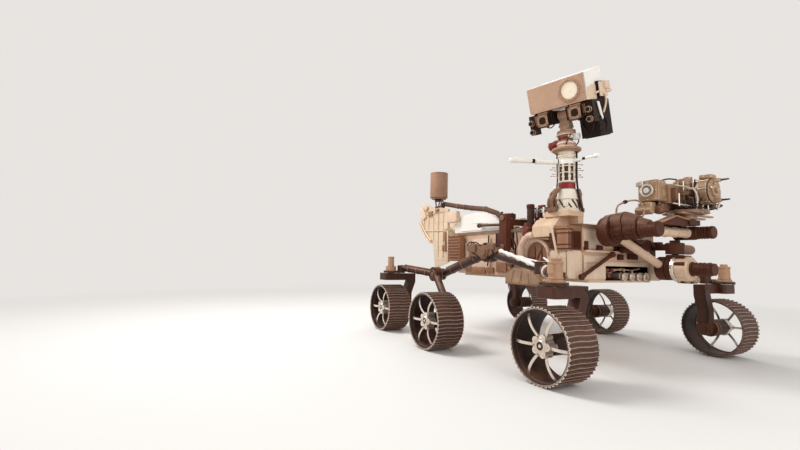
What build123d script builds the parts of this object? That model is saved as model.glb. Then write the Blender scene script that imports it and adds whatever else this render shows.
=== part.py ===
"""Six-wheeled planetary rover with a camera mast, a folded arm and a radioisotope power unit.

Millimetres. +X is forward, +Y is to the left side of the rover, +Z is up, and z = 0 is the ground.
Stations along X are counted from the middle axle. The whole rover is centred over the origin.
"""

from build123d import *
from math import cos, radians, sin, tan
import os

os.makedirs("parts", exist_ok=True)

# Power unit at the rear, tilted up at its tail
power_setback = 1115.0
power_z = 1120.0
power_tilt = 28.0
power_core_radius = 150.0
power_fin_radius = 300.0
power_fin_count = 8
power_fin_thickness = 9.0
power_fin_margin = 25.0
power_length = 560.0

# The drill's prongs are the foremost points and a fin's corner the rearmost one. Both reaches are
# counted from the middle axle, and they centre the rover over the origin.
turret_setforward = 1420.0
prong_reach = 320.0
fin_turn = radians(180 / power_fin_count)
front_reach = turret_setforward + prong_reach
rear_reach = (
    power_setback
    + (power_length / 2 - power_fin_margin) * cos(radians(power_tilt))
    + (power_fin_radius * cos(fin_turn) + power_fin_thickness / 2 * sin(fin_turn)) * sin(radians(power_tilt))
)
middle_axle_x = (rear_reach - front_reach) / 2

# Wheels
wheel_radius = 262.5
wheel_width = 284.0
grouser_count = 48
grouser_height = 11.0
grouser_thickness = 7.0
skin_thickness = 8.0
skin_radius = wheel_radius - grouser_height
spoke_count = 6
spoke_thickness = 5.0
spoke_width = 20.0
spoke_root_depth = 58.0
spoke_end_depth = 46.0
spoke_bow = 33.0
spoke_gap = 0.45
hub_radius = 62.0
hub_length = 78.0
hub_lobe_count = 5
hub_lobe_radius = 25.0
hub_recess = 24.0
axle_radius = 20.0
running_clearance = 0.05
front_axle_x = middle_axle_x + 1277.0
rear_axle_x = middle_axle_x - 1133.0
corner_wheel_y = 1118.0
middle_wheel_y = 1225.0

# Drive units in the wheels and the legs that carry them
drive_radius = 72.0
drive_cap_radius = 50.0
middle_leg_gap = 14.0
corner_leg_gap = 41.0
leg_thickness = 84.0
leg_length = 100.0
leg_foot_length = 118.0
leg_bend_low = 430.0
leg_bend_high = 560.0
leg_lean = 49.0
steer_arm_low = 580.0
steer_arm_high = 660.0
steer_arm_back = 60.0
steer_arm_ahead = 110.0
steer_arm_side = 100.0
steer_gap = 6.0
steer_flange_radius = 88.0
steer_flange_height = 22.0
steer_gearbox_radius = 62.0
steer_pin_radius = 30.0
steer_pin_height = 40.0

# Suspension
rocker_x = middle_axle_x + 250.0
rocker_z = 910.0
rocker_y = 790.0
rocker_hub_radius = 92.0
rocker_hub_half_width = 45.0
rocker_tube_radius = 42.0
rocker_shaft_radius = 55.0
knee_x = middle_axle_x + 930.0
knee_y = 845.0
knee_z = 780.0
knee_radius = 52.0
knee_half_height = 50.0
bogie_x = middle_axle_x - 567.0
bogie_y = 848.0
bogie_z = 672.0
bogie_hub_radius = 78.0
bogie_tube_radius = 36.0
fork_half_width = 30.0
boss_offset_x = 42.0
boss_y = 1000.0
boss_radius = 46.0
boss_top = 756.0

# Body
body_front = middle_axle_x + 1050.0
body_rear = middle_axle_x - 620.0
body_half_width = 500.0
body_floor = 690.0
belly_drop = 22.0
deck_bottom = 1122.0
deck_top = 1150.0
deck_overhang = 12.0
side_box_y = body_half_width + 190
housing_y = body_half_width + 150
bay_right = -214.0
bay_left = 400.0
bay_floor = 684.5
bay_roof = 808.0
bay_depth = 230.0
panel_thickness = 12.0
differential_x = rocker_x + 170.0

# Rear
power_x = middle_axle_x - power_setback
exchanger_y = body_half_width + 20
exchanger_thickness = 25.0

# Mast
mast_x = middle_axle_x + 934.0
mast_y = -body_half_width - 37
mast_foot_z = 1252.0
mast_top_z = 1793.0
mast_tube_radius = 56.0
boom_z = 1680.0
head_axis_z = 2100.0
head_pan = -78.0
head_tilt = -17.0

# Arm, folded across the front
shoulder_x = middle_axle_x + 1290.0
shoulder_face = middle_axle_x + 1240.0
shoulder_y = 400.0
shoulder_z = 800.0
elbow_y = -360.0
elbow_z = 1085.0
forearm_x = middle_axle_x + 1396.0
wrist_y = 440.0
wrist_z = 1105.0
arm_pin_radius = 25.0
arm_bore_radius = arm_pin_radius + running_clearance
joint_gap = 6.0
turret_x = middle_axle_x + turret_setforward
turret_y = 330.0
turret_low = 1212.0
turret_core_radius = 88.0
seat_gap = 0.3
turret_seat = turret_core_radius + seat_gap

# Steerable antenna on the left of the deck
dish_x = middle_axle_x + 90.0
dish_y = body_half_width - 91
dish_z = 1524.0
dish_radius = 165.0
dish_standoff = 105.0
dish_thickness = 22.0


def block(x, y, z, frame=Plane.XY):
    """A box between two values along each axis of a frame, in the part that is being built."""
    with BuildSketch(frame.offset(z[0])) as footprint:
        with Locations(((x[0] + x[1]) / 2, (y[0] + y[1]) / 2)):
            Rectangle(abs(x[1] - x[0]), abs(y[1] - y[0]))
    extrude(footprint.sketch, amount=z[1] - z[0])


def rod(start, end, radius, end_radius=None, mode=Mode.ADD):
    """A round bar from one point to another, straight or tapered."""
    run = Vector(*end) - Vector(*start)
    plane = Plane(origin=start, z_dir=run)
    with BuildSketch(plane) as first:
        Circle(radius)
    if end_radius is None:
        extrude(first.sketch, amount=run.length, mode=mode)
    else:
        with BuildSketch(plane.offset(run.length)) as last:
            Circle(end_radius)
        loft([first.sketch.face(), last.sketch.face()], mode=mode)


def stepped(start, direction, steps):
    """A turned shape along one direction: each step is a pair of length and radius."""
    run = Vector(*direction).normalized()
    place = Vector(*start)
    for length, radius in steps:
        following = place + run * length
        rod(tuple(place), tuple(following), radius)
        place = following


def side_plate(outline, y, thickness, mode=Mode.ADD):
    """A plate with its outline in X and Z, from y towards the left by its thickness."""
    with BuildSketch(Plane(origin=(0, y, 0), x_dir=(1, 0, 0), z_dir=(0, -1, 0))) as profile:
        with BuildLine():
            Polyline(*outline, close=True)
        make_face()
    extrude(profile.sketch, amount=-thickness, mode=mode)


def front_plate(outline, x, thickness, mode=Mode.ADD):
    """A plate with its outline in Y and Z, from x forward by its thickness."""
    with BuildSketch(Plane(origin=(x, 0, 0), x_dir=(0, 1, 0), z_dir=(1, 0, 0))) as profile:
        with BuildLine():
            Polyline(*outline, close=True)
        make_face()
    extrude(profile.sketch, amount=thickness, mode=mode)


def bore(start, end, radius):
    """A round hole from one point to another."""
    rod(start, end, radius, mode=Mode.SUBTRACT)


def save(piece, name):
    """Label a finished piece and write its file."""
    piece.part.label = name
    export_step(piece.part, f"parts/{name}.step")


# Each wheel is named with its axle station, its place across and its side (-1 right, 1 left)
wheel_table = [
    ("front_right", front_axle_x, corner_wheel_y, -1),
    ("front_left", front_axle_x, corner_wheel_y, 1),
    ("middle_right", middle_axle_x, middle_wheel_y, -1),
    ("middle_left", middle_axle_x, middle_wheel_y, 1),
    ("rear_right", rear_axle_x, corner_wheel_y, -1),
    ("rear_left", rear_axle_x, corner_wheel_y, 1),
]

for name, axle_x, wheel_y, side in wheel_table:
    inner_face = Plane(
        origin=(axle_x, side * (wheel_y - wheel_width / 2), wheel_radius),
        x_dir=(1, 0, 0),
        z_dir=(0, side, 0),
    )
    # Rim: a thin skin with straight grousers across its whole width
    with BuildPart() as rim:
        with BuildSketch(inner_face):
            RegularPolygon(skin_radius, grouser_count)
            with PolarLocations(skin_radius + grouser_height / 2 - 2, grouser_count):
                Rectangle(grouser_height + 4, grouser_thickness)
            RegularPolygon(skin_radius - skin_thickness, grouser_count, mode=Mode.SUBTRACT)
        extrude(amount=wheel_width)
    save(rim, f"wheel_{name}_rim")

    # Hub with its lobes, and spokes that bow outward along the axle between the hub and the skin
    hub_plane = inner_face.offset(wheel_width - hub_recess - hub_length)
    outer_point = Vector(axle_x, side * (wheel_y + wheel_width / 2), wheel_radius)
    spoke_root = hub_radius - 12
    spoke_reach = (skin_radius - skin_thickness) * cos(radians(180 / grouser_count)) - spoke_gap
    spoke_middle = (spoke_root + spoke_reach) / 2
    middle_depth = (spoke_root_depth + spoke_end_depth) / 2 - spoke_bow
    half = spoke_thickness / 2
    with BuildPart() as hub:
        with BuildSketch(hub_plane):
            Circle(hub_radius)
            with PolarLocations(hub_radius - 6, hub_lobe_count):
                Circle(hub_lobe_radius)
            Circle(axle_radius + running_clearance, mode=Mode.SUBTRACT)
        extrude(amount=hub_length)
        for index in range(spoke_count):
            turn = radians(360 / spoke_count * index)
            outward = Vector(cos(turn), 0, sin(turn))
            spoke_plane = Plane(origin=outer_point, x_dir=outward, z_dir=outward.cross(Vector(0, -side, 0)))
            with BuildSketch(spoke_plane):
                with BuildLine():
                    ThreePointArc(
                        (spoke_root, spoke_root_depth - half),
                        (spoke_middle, middle_depth - half),
                        (spoke_reach, spoke_end_depth - half),
                    )
                    Line((spoke_reach, spoke_end_depth - half), (spoke_reach, spoke_end_depth + half))
                    ThreePointArc(
                        (spoke_reach, spoke_end_depth + half),
                        (spoke_middle, middle_depth + half),
                        (spoke_root, spoke_root_depth + half),
                    )
                    Line((spoke_root, spoke_root_depth + half), (spoke_root, spoke_root_depth - half))
                make_face()
            extrude(amount=spoke_width / 2, both=True)
    save(hub, f"wheel_{name}_hub")


def drive_motor(centre_x, leg_outer, hub_inner, side):
    """The motor from the leg to the wheel's hub, its axle through the hub and its inboard cap."""
    motor_length = hub_inner - leg_outer - steer_gap
    stepped(
        (centre_x, side * leg_outer, wheel_radius),
        (0, side, 0),
        [(motor_length, drive_radius), (steer_gap + hub_length + 5, axle_radius)],
    )
    stepped(
        (centre_x, side * (leg_outer - leg_thickness), wheel_radius),
        (0, -side, 0),
        [(26, drive_cap_radius), (12, drive_cap_radius * 0.6)],
    )


# Corner drive units turn with the steering: a pin, an arm over the wheel, a leg and the motor
corner_table = [
    ("front_right", front_axle_x, -1),
    ("front_left", front_axle_x, 1),
    ("rear_right", rear_axle_x, -1),
    ("rear_left", rear_axle_x, 1),
]
for name, axle_x, side in corner_table:
    leg_outer = corner_wheel_y - wheel_width / 2 - corner_leg_gap
    leg_inner = leg_outer - leg_thickness
    hub_inner = corner_wheel_y + wheel_width / 2 - hub_recess - hub_length
    forward = 1 if axle_x > middle_axle_x else -1
    with BuildPart() as knuckle:
        block(
            sorted((axle_x - forward * steer_arm_back, axle_x + forward * steer_arm_ahead)),
            sorted((side * (corner_wheel_y - steer_arm_side), side * (corner_wheel_y + steer_arm_side))),
            (steer_arm_low, steer_arm_high),
        )
        fillet(knuckle.edges().filter_by(Axis.Z), radius=28)
        front_plate(
            [
                (side * leg_inner, wheel_radius),
                (side * leg_inner, leg_bend_low),
                (side * (leg_inner - leg_lean), leg_bend_high),
                (side * (leg_inner - leg_lean), steer_arm_high),
                (side * corner_wheel_y, steer_arm_high),
                (side * corner_wheel_y, steer_arm_low),
                (side * (leg_outer - leg_lean), steer_arm_low),
                (side * leg_outer, leg_bend_low),
                (side * leg_outer, wheel_radius),
            ],
            axle_x - leg_length / 2,
            leg_length,
        )
        rod(
            (axle_x, side * leg_inner, wheel_radius),
            (axle_x, side * leg_outer, wheel_radius),
            leg_foot_length / 2,
        )
        rod(
            (axle_x, side * corner_wheel_y, steer_arm_high),
            (axle_x, side * corner_wheel_y, steer_arm_high + steer_pin_height),
            steer_pin_radius,
        )
        drive_motor(axle_x, leg_outer, hub_inner, side)
    save(knuckle, f"steer_{name}_leg")

# Steering actuators stand on the ends of the rockers and bogies
flange_low = steer_arm_high + steer_gap
flange_high = flange_low + steer_flange_height
steer_bore_top = steer_arm_high + steer_pin_height + 4
steer_bore_radius = steer_pin_radius + running_clearance
# Columns: the motor's place ahead of the pin and outward, the gearbox's height, the motor's steps
steer_motor_table = {
    "front": (53.0, 25.0, 20.0, [(122, 47), (20, 30)]),
    "rear": (0.0, 0.0, 54.0, [(115, 36)]),
}
with BuildPart() as steering_motors:
    for name, axle_x, side in corner_table:
        ahead, outward, gearbox_height, steps = steer_motor_table[name.split("_")[0]]
        steer_y = side * corner_wheel_y
        motor_x = axle_x + ahead
        motor_y = steer_y + side * outward
        gearbox_top = flange_high + gearbox_height
        rod((axle_x, steer_y, flange_high), (axle_x, steer_y, gearbox_top), steer_gearbox_radius)
        rod((motor_x, motor_y, flange_high), (motor_x, motor_y, gearbox_top), steer_gearbox_radius - 2)
        stepped((motor_x, motor_y, gearbox_top), (0, 0, 1), steps)
    for name, axle_x, side in corner_table:
        steer_y = side * corner_wheel_y
        bore((axle_x, steer_y, flange_high), (axle_x, steer_y, steer_bore_top), steer_bore_radius)
save(steering_motors, "steering_motors")


def steering_end(axle_x, side):
    """The end of a rocker or bogie: a boss, a bracket and the flange round the steering pin."""
    end = "front" if axle_x > middle_axle_x else "rear"
    inward = -1 if end == "front" else 1
    ahead, outward = steer_motor_table[end][:2]
    boss_x = axle_x + inward * boss_offset_x
    steer_y = side * corner_wheel_y
    rod((boss_x, side * boss_y, flange_low), (boss_x, side * boss_y, boss_top), boss_radius)
    block(
        sorted((boss_x + inward * boss_radius, axle_x - inward * boss_radius)),
        sorted((side * boss_y, steer_y)),
        (flange_low, flange_high),
    )
    rod((axle_x, steer_y, flange_low), (axle_x, steer_y, flange_high), steer_flange_radius)
    motor_x = axle_x + ahead
    motor_y = steer_y + side * outward
    rod((motor_x, motor_y, flange_low), (motor_x, motor_y, flange_high), steer_flange_radius - 6)
    bore((axle_x, steer_y, flange_low), (axle_x, steer_y, flange_high), steer_bore_radius)


side_table = [("right", -1), ("left", 1)]
fork_outer = rocker_y + 15
rear_tube_y = fork_outer - rocker_tube_radius - 7
for name, side in side_table:
    # Rocker: hub, front tube with its knee, rear tube and the fork round the bogie's pivot
    hub_inner_y = side * (rocker_y - rocker_hub_half_width)
    hub_outer_y = side * (rocker_y + rocker_hub_half_width)
    with BuildPart() as rocker:
        rod((rocker_x, hub_inner_y, rocker_z), (rocker_x, hub_outer_y, rocker_z), rocker_hub_radius)
        rod((rocker_x, side * rocker_y, rocker_z), (knee_x, side * knee_y, knee_z), rocker_tube_radius)
        rod(
            (knee_x, side * knee_y, knee_z - knee_half_height),
            (knee_x, side * knee_y, knee_z + knee_half_height),
            knee_radius,
        )
        rod(
            (knee_x, side * knee_y, knee_z),
            (front_axle_x - boss_offset_x, side * boss_y, boss_top - 36),
            rocker_tube_radius - 6,
        )
        steering_end(front_axle_x, side)
        rod((rocker_x, side * rocker_y, rocker_z), (bogie_x, side * rear_tube_y, bogie_z), rocker_tube_radius)
        rod(
            (bogie_x, side * (fork_outer - 2 * fork_half_width), bogie_z),
            (bogie_x, side * fork_outer, bogie_z),
            bogie_hub_radius - 14,
        )
        block(
            (differential_x - 50, differential_x + 50),
            sorted((side * (rocker_y - 50), side * (rocker_y + 20))),
            (rocker_z - 60, rocker_z + 20),
        )
    save(rocker, f"rocker_{name}")

    # Bogie: hub beside the fork, rear arm to the steering and front leg to the middle wheel
    leg_outer = middle_wheel_y - wheel_width / 2 - middle_leg_gap
    leg_inner = leg_outer - leg_thickness
    leg_middle = (leg_outer + leg_inner) / 2
    hub_inner = middle_wheel_y + wheel_width / 2 - hub_recess - hub_length
    bogie_outer = bogie_y + (bogie_y - fork_outer)
    with BuildPart() as bogie:
        rod((bogie_x, side * fork_outer, bogie_z), (bogie_x, side * bogie_outer, bogie_z), bogie_hub_radius)
        rod(
            (bogie_x, side * bogie_y, bogie_z),
            (rear_axle_x + boss_offset_x, side * boss_y, boss_top - 30),
            bogie_tube_radius,
        )
        steering_end(rear_axle_x, side)
        rod(
            (bogie_x, side * bogie_y, bogie_z),
            (middle_axle_x, side * leg_middle, wheel_radius),
            bogie_tube_radius + 4,
            bogie_tube_radius,
        )
        rod(
            (middle_axle_x, side * leg_inner, wheel_radius),
            (middle_axle_x, side * leg_outer, wheel_radius),
            leg_foot_length / 2,
        )
        drive_motor(middle_axle_x, leg_outer, hub_inner, side)
    save(bogie, f"bogie_{name}")

# Chassis: closed body with the sample bay open at its front and the rocker shafts at its sides
with BuildPart() as chassis:
    block((body_rear, body_front), (-body_half_width, body_half_width), (body_floor, deck_bottom))
    belly_half_width = body_half_width - 70
    block(
        (body_rear + 40, body_front),
        (-belly_half_width, belly_half_width),
        (body_floor - belly_drop, body_floor),
    )
    for name, side in side_table:
        rod(
            (rocker_x, side * body_half_width, rocker_z),
            (rocker_x, side * (rocker_y - rocker_hub_half_width), rocker_z),
            rocker_shaft_radius,
        )
    with BuildSketch(Plane(origin=(body_front, 0, 0), x_dir=(0, 1, 0), z_dir=(1, 0, 0))):
        with Locations(((bay_right + bay_left) / 2, (bay_floor + bay_roof) / 2)):
            Rectangle(bay_left - bay_right, bay_roof - bay_floor)
    extrude(amount=-bay_depth, mode=Mode.SUBTRACT)
save(chassis, "chassis")

# Deck plate with a pattern of four bolt holes for a payload
payload_x = middle_axle_x - 150.0
payload_y = 100.0
payload_spacing_x = 300.0
payload_spacing_y = 200.0
payload_hole_radius = 4.5
with BuildPart() as deck:
    block(
        (body_rear - deck_overhang, body_front + deck_overhang),
        (-body_half_width - deck_overhang, body_half_width + deck_overhang),
        (deck_bottom, deck_top),
    )
    with Locations((payload_x, payload_y, deck_top)):
        with GridLocations(payload_spacing_x, payload_spacing_y, 2, 2):
            Hole(payload_hole_radius, depth=deck_top - deck_bottom)
save(deck, "deck")

# Sample tubes stand out of the back of the bay and reach a little past the body's front
tube_radius = 31.0
tube_z = 720.0
tube_front = body_front + 20
tube_cup = 65.0
with BuildPart() as sample_tubes:
    for tube_y in (21.0, 132.0, 235.0, 331.0):
        rod((body_front - bay_depth, tube_y, tube_z), (tube_front, tube_y, tube_z), tube_radius)
        bore((tube_front - tube_cup, tube_y, tube_z), (tube_front, tube_y, tube_z), tube_radius - 8)
save(sample_tubes, "sample_tubes")

# Front panels: the right one with its slot, the beam above the bay and the slanting brace
panel_left = bay_right - 10
panel_right = -body_half_width + 2
brace_foot_y = -body_half_width - 74
brace_x = body_front + 45
with BuildPart() as front_panels:
    lower_panel = [(panel_right, 700), (panel_left, 700), (panel_left, 891), (panel_right, 891)]
    front_plate(lower_panel, body_front, panel_thickness)
    slot_right = panel_right + 28
    slot_left = slot_right + 150
    slot = [(slot_right, 790), (slot_left, 790), (slot_left, 836), (slot_right, 836)]
    front_plate(slot, body_front, panel_thickness, Mode.SUBTRACT)
    front_plate([(panel_right, 918), (-40, 918), (-40, 934), (panel_right, 934)], body_front, 34)
    rod((brace_x, brace_foot_y, 716), (brace_x, -178, 906), 14)
    block((body_front - 2, brace_x + 5), (brace_foot_y - 18, brace_foot_y + 18), (702, 730))
    block((body_front, brace_x + 5), (-196, -160), (890, 918))
save(front_panels, "front_panels")

# Corner box under the mast with its round housing, and the flat radiator at the right side's rear
shroud_rear = middle_axle_x + 692.0
shroud_peak = middle_axle_x + 850.0
shroud_front = middle_axle_x + 931.0
shroud_low = deck_bottom - 79
shroud_shoulder = deck_bottom + 11
deck_edge = body_half_width + deck_overhang
corner_front = body_front - 2
corner_rear = middle_axle_x + 885.0
housing_x = middle_axle_x + 1000.0
with BuildPart() as side_boxes:
    block((corner_rear, shroud_front), (-side_box_y, -body_half_width), (700, shroud_low))
    block((shroud_front, corner_front), (-side_box_y, -body_half_width), (700, deck_bottom))
    block((shroud_front, corner_front), (-side_box_y, -deck_edge), (deck_bottom, deck_bottom + 8))
    rod((housing_x, -housing_y, 922), (housing_x, -housing_y, 1107), 62)
    block((body_rear - 80, body_rear + 140), (-exchanger_y - 76, -exchanger_y - 4), (821, 1119))
    block((body_rear + 20, body_rear + 120), (-exchanger_y - 4, -body_half_width), (900, 1010))
save(side_boxes, "side_boxes")

# Shroud on the deck's right edge, with a sloping top, and the slab that carries the mast
with BuildPart() as mast_box:
    front_plate(
        [
            (-side_box_y, shroud_low),
            (-side_box_y, shroud_shoulder),
            (-side_box_y + 105, mast_foot_z),
            (-deck_edge, mast_foot_z),
            (-deck_edge, shroud_low),
        ],
        shroud_rear,
        shroud_front - shroud_rear,
    )
    rear_slope = [(shroud_rear, mast_foot_z - 62), (shroud_peak, mast_foot_z), (shroud_rear, mast_foot_z)]
    side_plate(rear_slope, -side_box_y - 1, side_box_y, Mode.SUBTRACT)
    slab_right = -side_box_y + 50
    slab_left = -body_half_width + 50
    slab_low = mast_foot_z - 40
    block((middle_axle_x + 780, middle_axle_x + 1030), (slab_right, slab_left), (slab_low, mast_foot_z))
    block((middle_axle_x + 800, middle_axle_x + 1025), (-deck_edge, slab_left), (deck_top, slab_low))
save(mast_box, "mast_box")

# Arched bay at the right side, the round duct that bends down beside it, and its door
arch_face = body_half_width + 150
arch_centre_x = middle_axle_x + 700.0
arch_half_width = 145.0
arch_foot = 822.0
arch_spring = 884.0
door_half_width = 115.0
door_foot = 841.0
door_gap = 3.0
door_thickness = 22.0
recess_depth = 40.0
recess_half_width = door_half_width + door_gap
recess_foot = door_foot - door_gap
duct_y = -arch_face - 31.3
duct_radius = 29.0


def arch_profile(y, half_width, foot):
    """The arch's outline on an upright plane at y: straight sides under a half circle."""
    left = arch_centre_x - half_width
    right = arch_centre_x + half_width
    with BuildSketch(Plane(origin=(0, y, 0), x_dir=(1, 0, 0), z_dir=(0, -1, 0))) as profile:
        with BuildLine():
            Polyline((right, arch_spring), (right, foot), (left, foot), (left, arch_spring))
            ThreePointArc(
                (left, arch_spring),
                (arch_centre_x, arch_spring + half_width),
                (right, arch_spring),
            )
        make_face()
    return profile.sketch


with BuildPart() as side_arch:
    extrude(arch_profile(-arch_face, arch_half_width, arch_foot), amount=body_half_width - arch_face)
    recess = arch_profile(-arch_face, recess_half_width, recess_foot)
    extrude(recess, amount=-recess_depth, mode=Mode.SUBTRACT)
    with BuildLine() as duct_path:
        FilletPolyline(
            (shroud_rear - 0.3, duct_y, 1060),
            (middle_axle_x + 622, duct_y, 1060),
            (middle_axle_x + 552, duct_y, 970),
            (middle_axle_x + 548, duct_y, 855),
            radius=50,
        )
    with BuildSketch(Plane(origin=duct_path.line @ 0, z_dir=duct_path.line % 0)):
        Circle(duct_radius)
    sweep()
    block((middle_axle_x + 530, middle_axle_x + 590), (-arch_face - 40, 5 - arch_face), (835, 868))
save(side_arch, "side_arch")

with BuildPart() as arch_door:
    extrude(arch_profile(recess_depth - arch_face, door_half_width, door_foot), amount=door_thickness)
save(arch_door, "arch_door")

# Skirt: a tapered bay below the right side, with the plate that carries it
skirt_y = body_half_width + 180
skirt_thickness = 60.0
with BuildPart() as side_skirt:
    side_plate(
        [
            (middle_axle_x + 350, 622),
            (middle_axle_x + 795, 622),
            (middle_axle_x + 795, 648),
            (middle_axle_x + 633, 770),
            (middle_axle_x + 450, 770),
            (middle_axle_x + 350, 700),
        ],
        -skirt_y,
        skirt_thickness,
    )
    carrier_y = (skirt_thickness - skirt_y, -body_half_width)
    block((middle_axle_x + 380, middle_axle_x + 640), carrier_y, (700, 765))
save(side_skirt, "side_skirt")

# Curved cover on the right rear of the deck, and a small box ahead of it
cover_crown = [(-688, 1183), (-617, 1305), (-453, 1357), (-277, 1362), (-71, 1317), (46, 1255), (102, 1199)]
cover_points = [(middle_axle_x + x, z) for x, z in cover_crown]
with BuildPart() as rear_cover:
    cover_plane = Plane(origin=(0, -body_half_width - 5, 0), x_dir=(1, 0, 0), z_dir=(0, -1, 0))
    with BuildSketch(cover_plane):
        with BuildLine():
            Spline(*cover_points)
            Polyline(
                cover_points[-1],
                (cover_points[-1][0], deck_top),
                (cover_points[0][0], deck_top),
                cover_points[0],
            )
        make_face()
    extrude(amount=-150)
    small_box_y = (-body_half_width, -body_half_width + 70)
    block((middle_axle_x + 290, middle_axle_x + 372), small_box_y, (deck_top, 1250))
save(rear_cover, "rear_cover")

# Heat exchangers: one bent panel on each side of the power unit
exchanger_outline = [
    (middle_axle_x - 780, 1450),
    (middle_axle_x - 930, 1480),
    (middle_axle_x - 1110, 1480),
    (middle_axle_x - 1210, 1540),
    (middle_axle_x - 1400, 1400),
    (middle_axle_x - 1392, 1200),
    (middle_axle_x - 1096, 1020),
    (middle_axle_x - 1040, 731),
    (middle_axle_x - 765, 809),
]
with BuildPart() as heat_exchangers:
    side_plate(exchanger_outline, -exchanger_y - exchanger_thickness, exchanger_thickness)
    side_plate(exchanger_outline, exchanger_y, exchanger_thickness)
save(heat_exchangers, "heat_exchangers")

# Rear frame: bars from the chassis to the panels, and the neck that carries the power unit
power_axis = Vector(-cos(radians(power_tilt)), 0, sin(radians(power_tilt)))
power_front = Vector(power_x, 0, power_z) - power_axis * (power_length / 2)
with BuildPart() as rear_frame:
    rod(tuple(power_front), tuple(power_front - power_axis * 420), 85)
    block((body_rear, body_rear + 600), (-200, 200), (600, 1200))
    split(bisect_by=Plane(origin=(body_rear, 0, 0), z_dir=(-1, 0, 0)), keep=Keep.TOP)
    for side in (-1, 1):
        for bar_z in (830.0, 1060.0):
            block(
                (middle_axle_x - 900, body_rear),
                sorted((side * (body_half_width - 35), side * exchanger_y)),
                (bar_z, bar_z + 40),
            )
save(rear_frame, "rear_frame")

# Power unit: a core with radial fins between two end caps
power_base = Plane(origin=tuple(power_front), x_dir=(0, 1, 0), z_dir=tuple(power_axis))
with BuildPart() as power_unit:
    with BuildSketch(power_base):
        Circle(power_core_radius)
    extrude(amount=power_length)
    with BuildSketch(power_base.offset(power_fin_margin)):
        with PolarLocations((power_core_radius - 10 + power_fin_radius) / 2, power_fin_count, 22.5):
            Rectangle(power_fin_radius - power_core_radius + 10, power_fin_thickness)
    extrude(amount=power_length - 2 * power_fin_margin)
save(power_unit, "power_unit")

# Hose over the cover, from its fitting on the right panel to the capped canister on the deck, and
# the canister's own pipe
hose_y = -body_half_width + 10
canister_y = -body_half_width
side_pipe_y = canister_y - 40
canister_x = middle_axle_x + 211.0
with BuildPart() as hose_arch:
    with BuildLine() as hose_path:
        FilletPolyline(
            (middle_axle_x - 980, hose_y, 1465),
            (middle_axle_x - 980, hose_y, 1540),
            (middle_axle_x - 652, hose_y, 1472),
            (middle_axle_x - 393, hose_y, 1425),
            (middle_axle_x - 157, hose_y, 1390),
            (middle_axle_x + 21, hose_y, 1329),
            (middle_axle_x + 114, hose_y, 1263),
            (middle_axle_x + 190, hose_y, 1215),
            radius=50,
        )
    with BuildSketch(Plane(origin=hose_path.line @ 0, z_dir=hose_path.line % 0)):
        Circle(28)
    sweep()
    block((middle_axle_x - 1015, middle_axle_x - 945), (-exchanger_y, hose_y + 30), (1400, 1470))
    rod((canister_x, canister_y, deck_top), (canister_x, canister_y, 1298), 61)
    rod((middle_axle_x - 170, side_pipe_y, 1210), (canister_x - 30, side_pipe_y, 1196), 14)
    rod((middle_axle_x - 192, side_pipe_y, 1211), (middle_axle_x - 168, side_pipe_y, 1210), 20)
save(hose_arch, "hose_arch")

# Relay antenna: a helix drum on a bracket that stands on the right panel
relay_x = middle_axle_x - 1000.0
relay_y = -exchanger_y - exchanger_thickness / 2
relay_low = 1610.0
with BuildPart() as relay_antenna:
    rod((relay_x, relay_y, relay_low), (relay_x, relay_y, 1922), 110)
    rod((relay_x, relay_y, relay_low - 18), (relay_x, relay_y, relay_low), 92)
    block((relay_x - 70, relay_x + 60), (relay_y - 12, relay_y + 12), (1480, 1500))
    for foot_x, top_x in ((-55, -75), (-10, 40), (45, 75)):
        rod((relay_x + foot_x, relay_y, 1495), (relay_x + top_x, relay_y, relay_low - 10), 9)
save(relay_antenna, "relay_antenna")

# Deck instruments: the post at the deck's edge and two small cameras on their stands
post_y = -body_half_width - 60
post_low = deck_bottom - 12
camera_right = -body_half_width + 10
with BuildPart() as deck_instruments:
    rod((middle_axle_x + 550, post_y, post_low), (middle_axle_x + 550, post_y, 1355), 32)
    block((middle_axle_x + 520, middle_axle_x + 580), (post_y - 40, -deck_edge), (post_low, deck_top))
    for camera_x in (middle_axle_x + 506, middle_axle_x + 586):
        block((camera_x, camera_x + 50), (camera_right, camera_right + 70), (1242, 1334))
        block((camera_x + 10, camera_x + 40), (camera_right + 20, camera_right + 50), (deck_top, 1242))
save(deck_instruments, "deck_instruments")

# Differential: a beam across the deck on its centre pivot, and a link down to each rocker
with BuildPart() as differential:
    block((differential_x - 30, differential_x + 30), (-722, 722), (1170, 1222))
    rod((differential_x, 0, deck_top), (differential_x, 0, 1240), 62)
    for side in (-1, 1):
        block(
            (differential_x - 45, differential_x + 45),
            sorted((side * 722, side * 782)),
            (rocker_z + 20, 1265),
        )
save(differential, "differential")

# Mast: foot cone, collar with its band, tube, head plate
with BuildPart() as mast_base:
    rod((mast_x, mast_y, mast_foot_z), (mast_x, mast_y, mast_foot_z + 12), 100)
    rod((mast_x, mast_y, mast_foot_z + 12), (mast_x, mast_y, 1362), 92, 80)
    rod((mast_x, mast_y, 1362), (mast_x, mast_y, 1450), 86, 68)
    rod((mast_x, mast_y, 1450), (mast_x, mast_y, 1492), 64)
save(mast_base, "mast_base")

pan_pin_radius = 30.0
pan_bore_radius = pan_pin_radius + running_clearance
with BuildPart() as mast_tube:
    rod((mast_x, mast_y, 1492), (mast_x, mast_y, 1708), mast_tube_radius)
    rod((mast_x, mast_y, 1708), (mast_x, mast_y, mast_top_z - 16), 64)
    rod((mast_x, mast_y, mast_top_z - 16), (mast_x, mast_y, mast_top_z), 117)
    bore((mast_x, mast_y, mast_top_z - 60), (mast_x, mast_y, mast_top_z), pan_bore_radius)
save(mast_tube, "mast_tube")

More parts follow.
